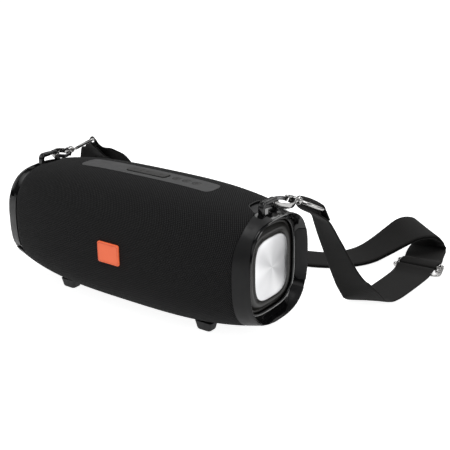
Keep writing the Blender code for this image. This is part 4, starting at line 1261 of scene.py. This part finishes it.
def build_strap():
    toward = Vector((0.24, 0.38, -0.89)).normalized()
    fold = fold_points(RIGHT_BAR, RIGHT_WIDTH, toward, 0.0150, 0.0050)
    frames = framed(stations_through(fold + STRAP_RUN, 6))
    bar_mark = nearest(frames, LEFT_BAR + Vector((0, 0, 0.003)))

    def spot(place, after=0, before=None):
        part = frames[after:before]
        return after + nearest(part, place)

    # Where the run is split into pieces: r and l near the right and left clasps, m on the second layer.
    r1 = spot((0.1440, 0.0722, 0.0730), 60, 160)
    r2 = spot((0.1735, 0.0973, 0.0050), 60, 200)
    r3 = spot((0.1763, 0.1760, 0.0020), 60, 220)
    r4 = spot((0.1720, 0.2190, 0.0018), 0, bar_mark)
    r5 = spot((0.1482, 0.2252, 0.0289), 0, bar_mark)
    l2 = spot((-0.0420, 0.1270, 0.0150), 0, bar_mark)
    l1 = spot((-0.1146, 0.0695, 0.0969), 0, bar_mark)
    m1 = spot((-0.1235, 0.0590, 0.1055), bar_mark)
    m2 = spot((-0.0980, 0.1080, 0.0090), bar_mark)
    m5 = spot((0.1481, 0.2264, 0.0261), bar_mark)
    m4 = spot((0.1720, 0.2190, 0.0040), bar_mark)

    def piece(name, a, b):
        return ribbon(name, frames[a:b + 1])

    def middle(i):
        return frames[i][0]

    def part_blend(item):
        blend(item)

    fold_item = piece("right_strap_fold", 0, r1)
    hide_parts("right_strap_loop")
    blend(fold_item)
    part_blend(piece("right_strap_drop", r1, r2))
    part_blend(piece("strap_floor_run", r2, r3))
    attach(piece("strap_slider_pass", r3, r4), "slider")
    part_blend(piece("strap_crest_outer", r4, r5))
    run = piece("strap_back_run", r5, l2)
    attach(run, "cabinet")
    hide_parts("strap_webbing")
    part_blend(piece("left_strap_rise", l2, l1))
    wrap = piece("left_strap_wrap", l1, m1)
    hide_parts("left_strap_loop")
    blend(wrap)
    part_blend(piece("left_strap_fall", m1, m2))
    under = piece("strap_under_run", m2, m5)
    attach(under, "cabinet")
    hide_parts("strap_second_layer")
    part_blend(piece("strap_crest_inner", m5, m4))
    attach(piece("strap_slider_end", m4, len(frames) - 1), "slider")


def build_slider():
    """Bent-wire adjuster: a rounded frame, longer at its right front, a raised middle bar and four knobs."""
    wire = 0.0015
    bar_wire = 0.0014
    bar_reach = 0.0222
    middle = Vector((0.1750, 0.2022, 0.0018))
    wide = Vector((0.9937, 0.112, 0.0))
    lean = Vector((-0.112, 0.9937, 0.0))
    corners = [(-0.0205, 0.0040), (-0.0216, 0.0000), (-0.0200, -0.0072), (0.0, -0.0088), (0.0186, -0.0146),
               (0.0248, -0.0116), (0.0236, 0.0), (0.0224, 0.0062), (0.0195, 0.0078), (0.0, 0.0074),
               (-0.0180, 0.0070)]
    path = [middle + wide * a + lean * b for a, b in corners]
    outer = tube("slider_frame", curve_through(path, 4, closed=True), wire, CHROME, closed=True)
    rise = Vector((0.0, 0.0, 0.0026))
    bend = wide * 0.0205
    ends = [middle - wide * bar_reach, middle - bend + rise, middle + bend + rise, middle + wide * bar_reach]
    bar = tube("slider_bar", ends, bar_wire, CHROME)
    knob = [(0.0, 0.0012), (0.0004, 0.0021), (0.0017, 0.0025), (0.0030, 0.0021), (0.0034, 0.0012)]
    knobs = []
    for across in (-1, 1):
        for along in (-1, 1):
            spot = middle + wide * (0.0216 * across) + lean * (0.0066 * along) + Vector((0, 0, 0.0012))
            knobs.append(lathe("slider_knob", spot - lean * 0.0017, lean, knob, CHROME, 16))
    join(outer, [bar] + knobs)
    settle(outer, "slider", "steel", "strap_slider")


# ------------------------------------------------------------------ rear and inside

def build_port():
    """Rubber door over the sockets at the back, with a finger tab."""
    upper = []
    lower = []
    c = 0.0045
    for x in spread(-PORT_HALF_X, PORT_HALF_X, 41):
        near = PORT_HALF_X - abs(x)
        pull = c - math.sqrt(max(0.0, c * c - (c - near) ** 2)) if near < c else 0.0
        zs = spread(AXIS_Z - PORT_HALF_Z + pull, AXIS_Z + PORT_HALF_Z - pull, 17)
        upper.append([Vector((x, -front_depth(x, z, 0.0006), z)) for z in zs])
        lower.append([Vector((x, -front_depth(x, z, -0.0022), z)) for z in zs])
    door = bevel(slab("port_door", upper, lower, RUBBER), 0.0006, 3)
    settle(door, "port_cover", "panel_rubber", "port_cover")
    tab = []
    tab_z = AXIS_Z + 0.0078
    for y, grow in ((0.0004, 0.0), (0.0014, -0.0002), (0.0018, -0.0008)):
        pairs = rounded_outline(0.0090 + grow, 0.0018 + grow, 0.0009, 5)
        tab.append([Vector((a, -front_depth(a, tab_z + b) + y, tab_z + b)) for a, b in pairs])
    settle(loft("port_door_tab", tab, KEY_RUBBER), "port_cover", "panel_rubber")


def finish_inside():
    """Materials for the CAD nodes that keep their own shapes."""
    looks = {"grille_cage": INNER, "enclosure_front_shell": INNER, "enclosure_rear_shell": INNER,
             "port_panel": INNER, "charging_socket": STEEL, "audio_socket": STEEL, "battery_pack": WRAP,
             "main_circuit_board": BOARD, "button_board": BOARD}
    for tag in ("left", "right"):
        looks["%s_driver_basket" % tag] = STEEL
        looks["%s_driver_magnet" % tag] = STEEL
        looks["%s_driver_surround" % tag] = ROLL
        looks["%s_driver_cone" % tag] = PAPER
    for name, look in looks.items():
        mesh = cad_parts[name].data
        mesh.materials.clear()
        mesh.materials.append(look)


# ------------------------------------------------------------------ stage

def build_floor():
    """Pale floor that looks almost white to the camera and is plain to every other ray."""
    floor_look = bpy.data.materials.new("floor_look")
    floor_look.use_nodes = True
    tree = floor_look.node_tree
    shader = tree.nodes["Principled BSDF"]
    grain = noise(tree, node(tree, "ShaderNodeTexCoord").outputs["Object"], 60.0, 3.0)
    tone = blend_colour(tree, grain, (0.84, 0.84, 0.84), (0.88, 0.88, 0.88))
    tree.links.new(tone, shader.inputs["Base Color"])
    shader.inputs["Roughness"].default_value = 0.9
    rays = node(tree, "ShaderNodeLightPath").outputs
    seen = calc(tree, "MAXIMUM", rays["Is Camera Ray"], scaled(tree, rays["Is Glossy Ray"], 0.75))
    shader.inputs["Emission Color"].default_value = (1, 1, 1, 1)
    tree.links.new(span(tree, seen, 0.0, 1.0, 0.05, 0.92), shader.inputs["Emission Strength"])
    half = 6.0
    corners = [(-half, -half, 0), (half, -half, 0), (half, half, 0), (-half, half, 0)]
    mesh = bpy.data.meshes.new("floor")
    mesh.from_pydata(corners, [], [(0, 1, 2, 3)])
    mesh.materials.append(floor_look)
    floor = bpy.data.objects.new("floor", mesh)
    bpy.context.scene.collection.objects.link(floor)


def build_world():
    """White to the camera, softly banded in reflections, and dim as a light."""
    world = bpy.data.worlds.new("studio")
    bpy.context.scene.world = world
    world.use_nodes = True
    tree = world.node_tree
    tree.nodes.clear()
    path = node(tree, "ShaderNodeLightPath")
    white = node(tree, "ShaderNodeBackground", {"Color": (1, 1, 1, 1), "Strength": 1.0})
    soft = node(tree, "ShaderNodeBackground", {"Color": (0.96, 0.98, 1.0, 1), "Strength": 0.16})
    spot = node(tree, "ShaderNodeTexCoord")
    parts = node(tree, "ShaderNodeSeparateXYZ", {"Vector": spot.outputs["Generated"]})
    bands = node(tree, "ShaderNodeValToRGB", {"Fac": span(tree, parts.outputs[2], -1.0, 1.0, 0.0, 1.0)})
    ramp = bands.color_ramp
    for place, level in ((0.30, 0.55), (0.49, 0.50), (0.53, 0.04), (0.62, 0.05), (0.68, 0.75), (0.80, 0.85),
                         (0.88, 0.10), (0.97, 0.30)):
        stop = ramp.elements.new(place)
        stop.color = (level, level, level, 1.0)
    mirrored = node(tree, "ShaderNodeBackground", {"Color": bands.outputs[0], "Strength": 0.85})
    glossy = node(tree, "ShaderNodeMixShader", {0: path.outputs["Is Glossy Ray"], 1: soft.outputs[0],
                                                2: mirrored.outputs[0]})
    mix = node(tree, "ShaderNodeMixShader", {0: path.outputs["Is Camera Ray"], 1: glossy.outputs[0],
                                             2: white.outputs[0]})
    out = node(tree, "ShaderNodeOutputWorld")
    tree.links.new(mix.outputs[0], out.inputs[0])


def build_lights():
    lamps = (("key", (0.1, -0.30, 1.5), 0.8, 9.0), ("fill", (-1.1, -0.7, 0.8), 0.7, 1.6),
             ("right", (1.3, -0.1, 0.6), 0.5, 2.4), ("back", (0.0, 1.2, 1.2), 0.9, 4.5))
    for name, place, size, power in lamps:
        data = bpy.data.lights.new(name, "AREA")
        data.energy = power
        data.size = size
        lamp = bpy.data.objects.new(name, data)
        lamp.location = SHIFT + Vector(place)
        aim = Vector((0.03, 0.03, 0.05)) - Vector(place)
        lamp.rotation_euler = aim.to_track_quat("-Z", "Y").to_euler()
        bpy.context.scene.collection.objects.link(lamp)


def build_camera():
    """Camera at the photograph's viewing angle; its numbers come from a fit of the object's outline."""
    distance = 0.88723
    azimuth = math.radians(36.583)
    elevation = math.radians(20.297)
    roll = math.radians(-0.860)
    back = Vector((math.sin(azimuth) * math.cos(elevation), -math.cos(azimuth) * math.cos(elevation),
                   math.sin(elevation)))
    right = Vector((math.cos(azimuth), math.sin(azimuth), 0))
    up = back.cross(right)
    target = SHIFT + Vector((0, 0, 0.07)) + right * 0.06830 + up * 0.00062
    turned_right = right * math.cos(roll) + up * math.sin(roll)
    turned_up = up * math.cos(roll) - right * math.sin(roll)
    data = bpy.data.cameras.new("photo_view")
    data.sensor_width = 36.0
    data.lens = 77.28744
    data.clip_start = 0.05
    data.clip_end = 20.0
    camera = bpy.data.objects.new("photo_view", data)
    rows = Matrix((turned_right, turned_up, back)).transposed().to_4x4()
    camera.matrix_world = Matrix.Translation(target + back * distance) @ rows
    bpy.context.scene.collection.objects.link(camera)
    bpy.context.scene.camera = camera
    bpy.context.scene.view_settings.view_transform = "Standard"


build_sleeve()
build_panel()
build_badge()
build_feet()
for side, tag, ball, bar, width in ((-1, "left", LEFT_BALL, LEFT_BAR, LEFT_WIDTH),
                                    (1, "right", RIGHT_BALL, RIGHT_BAR, RIGHT_WIDTH)):
    build_end(side, tag)
    build_bumpers(side, tag)
    build_radiator(side, tag)
    build_lug(side, tag)
    build_hook(side, tag, ball)
    build_ring(tag, ball, bar, width)
build_strap()
build_slider()
build_port()
finish_inside()
build_floor()
build_world()
build_lights()
build_camera()
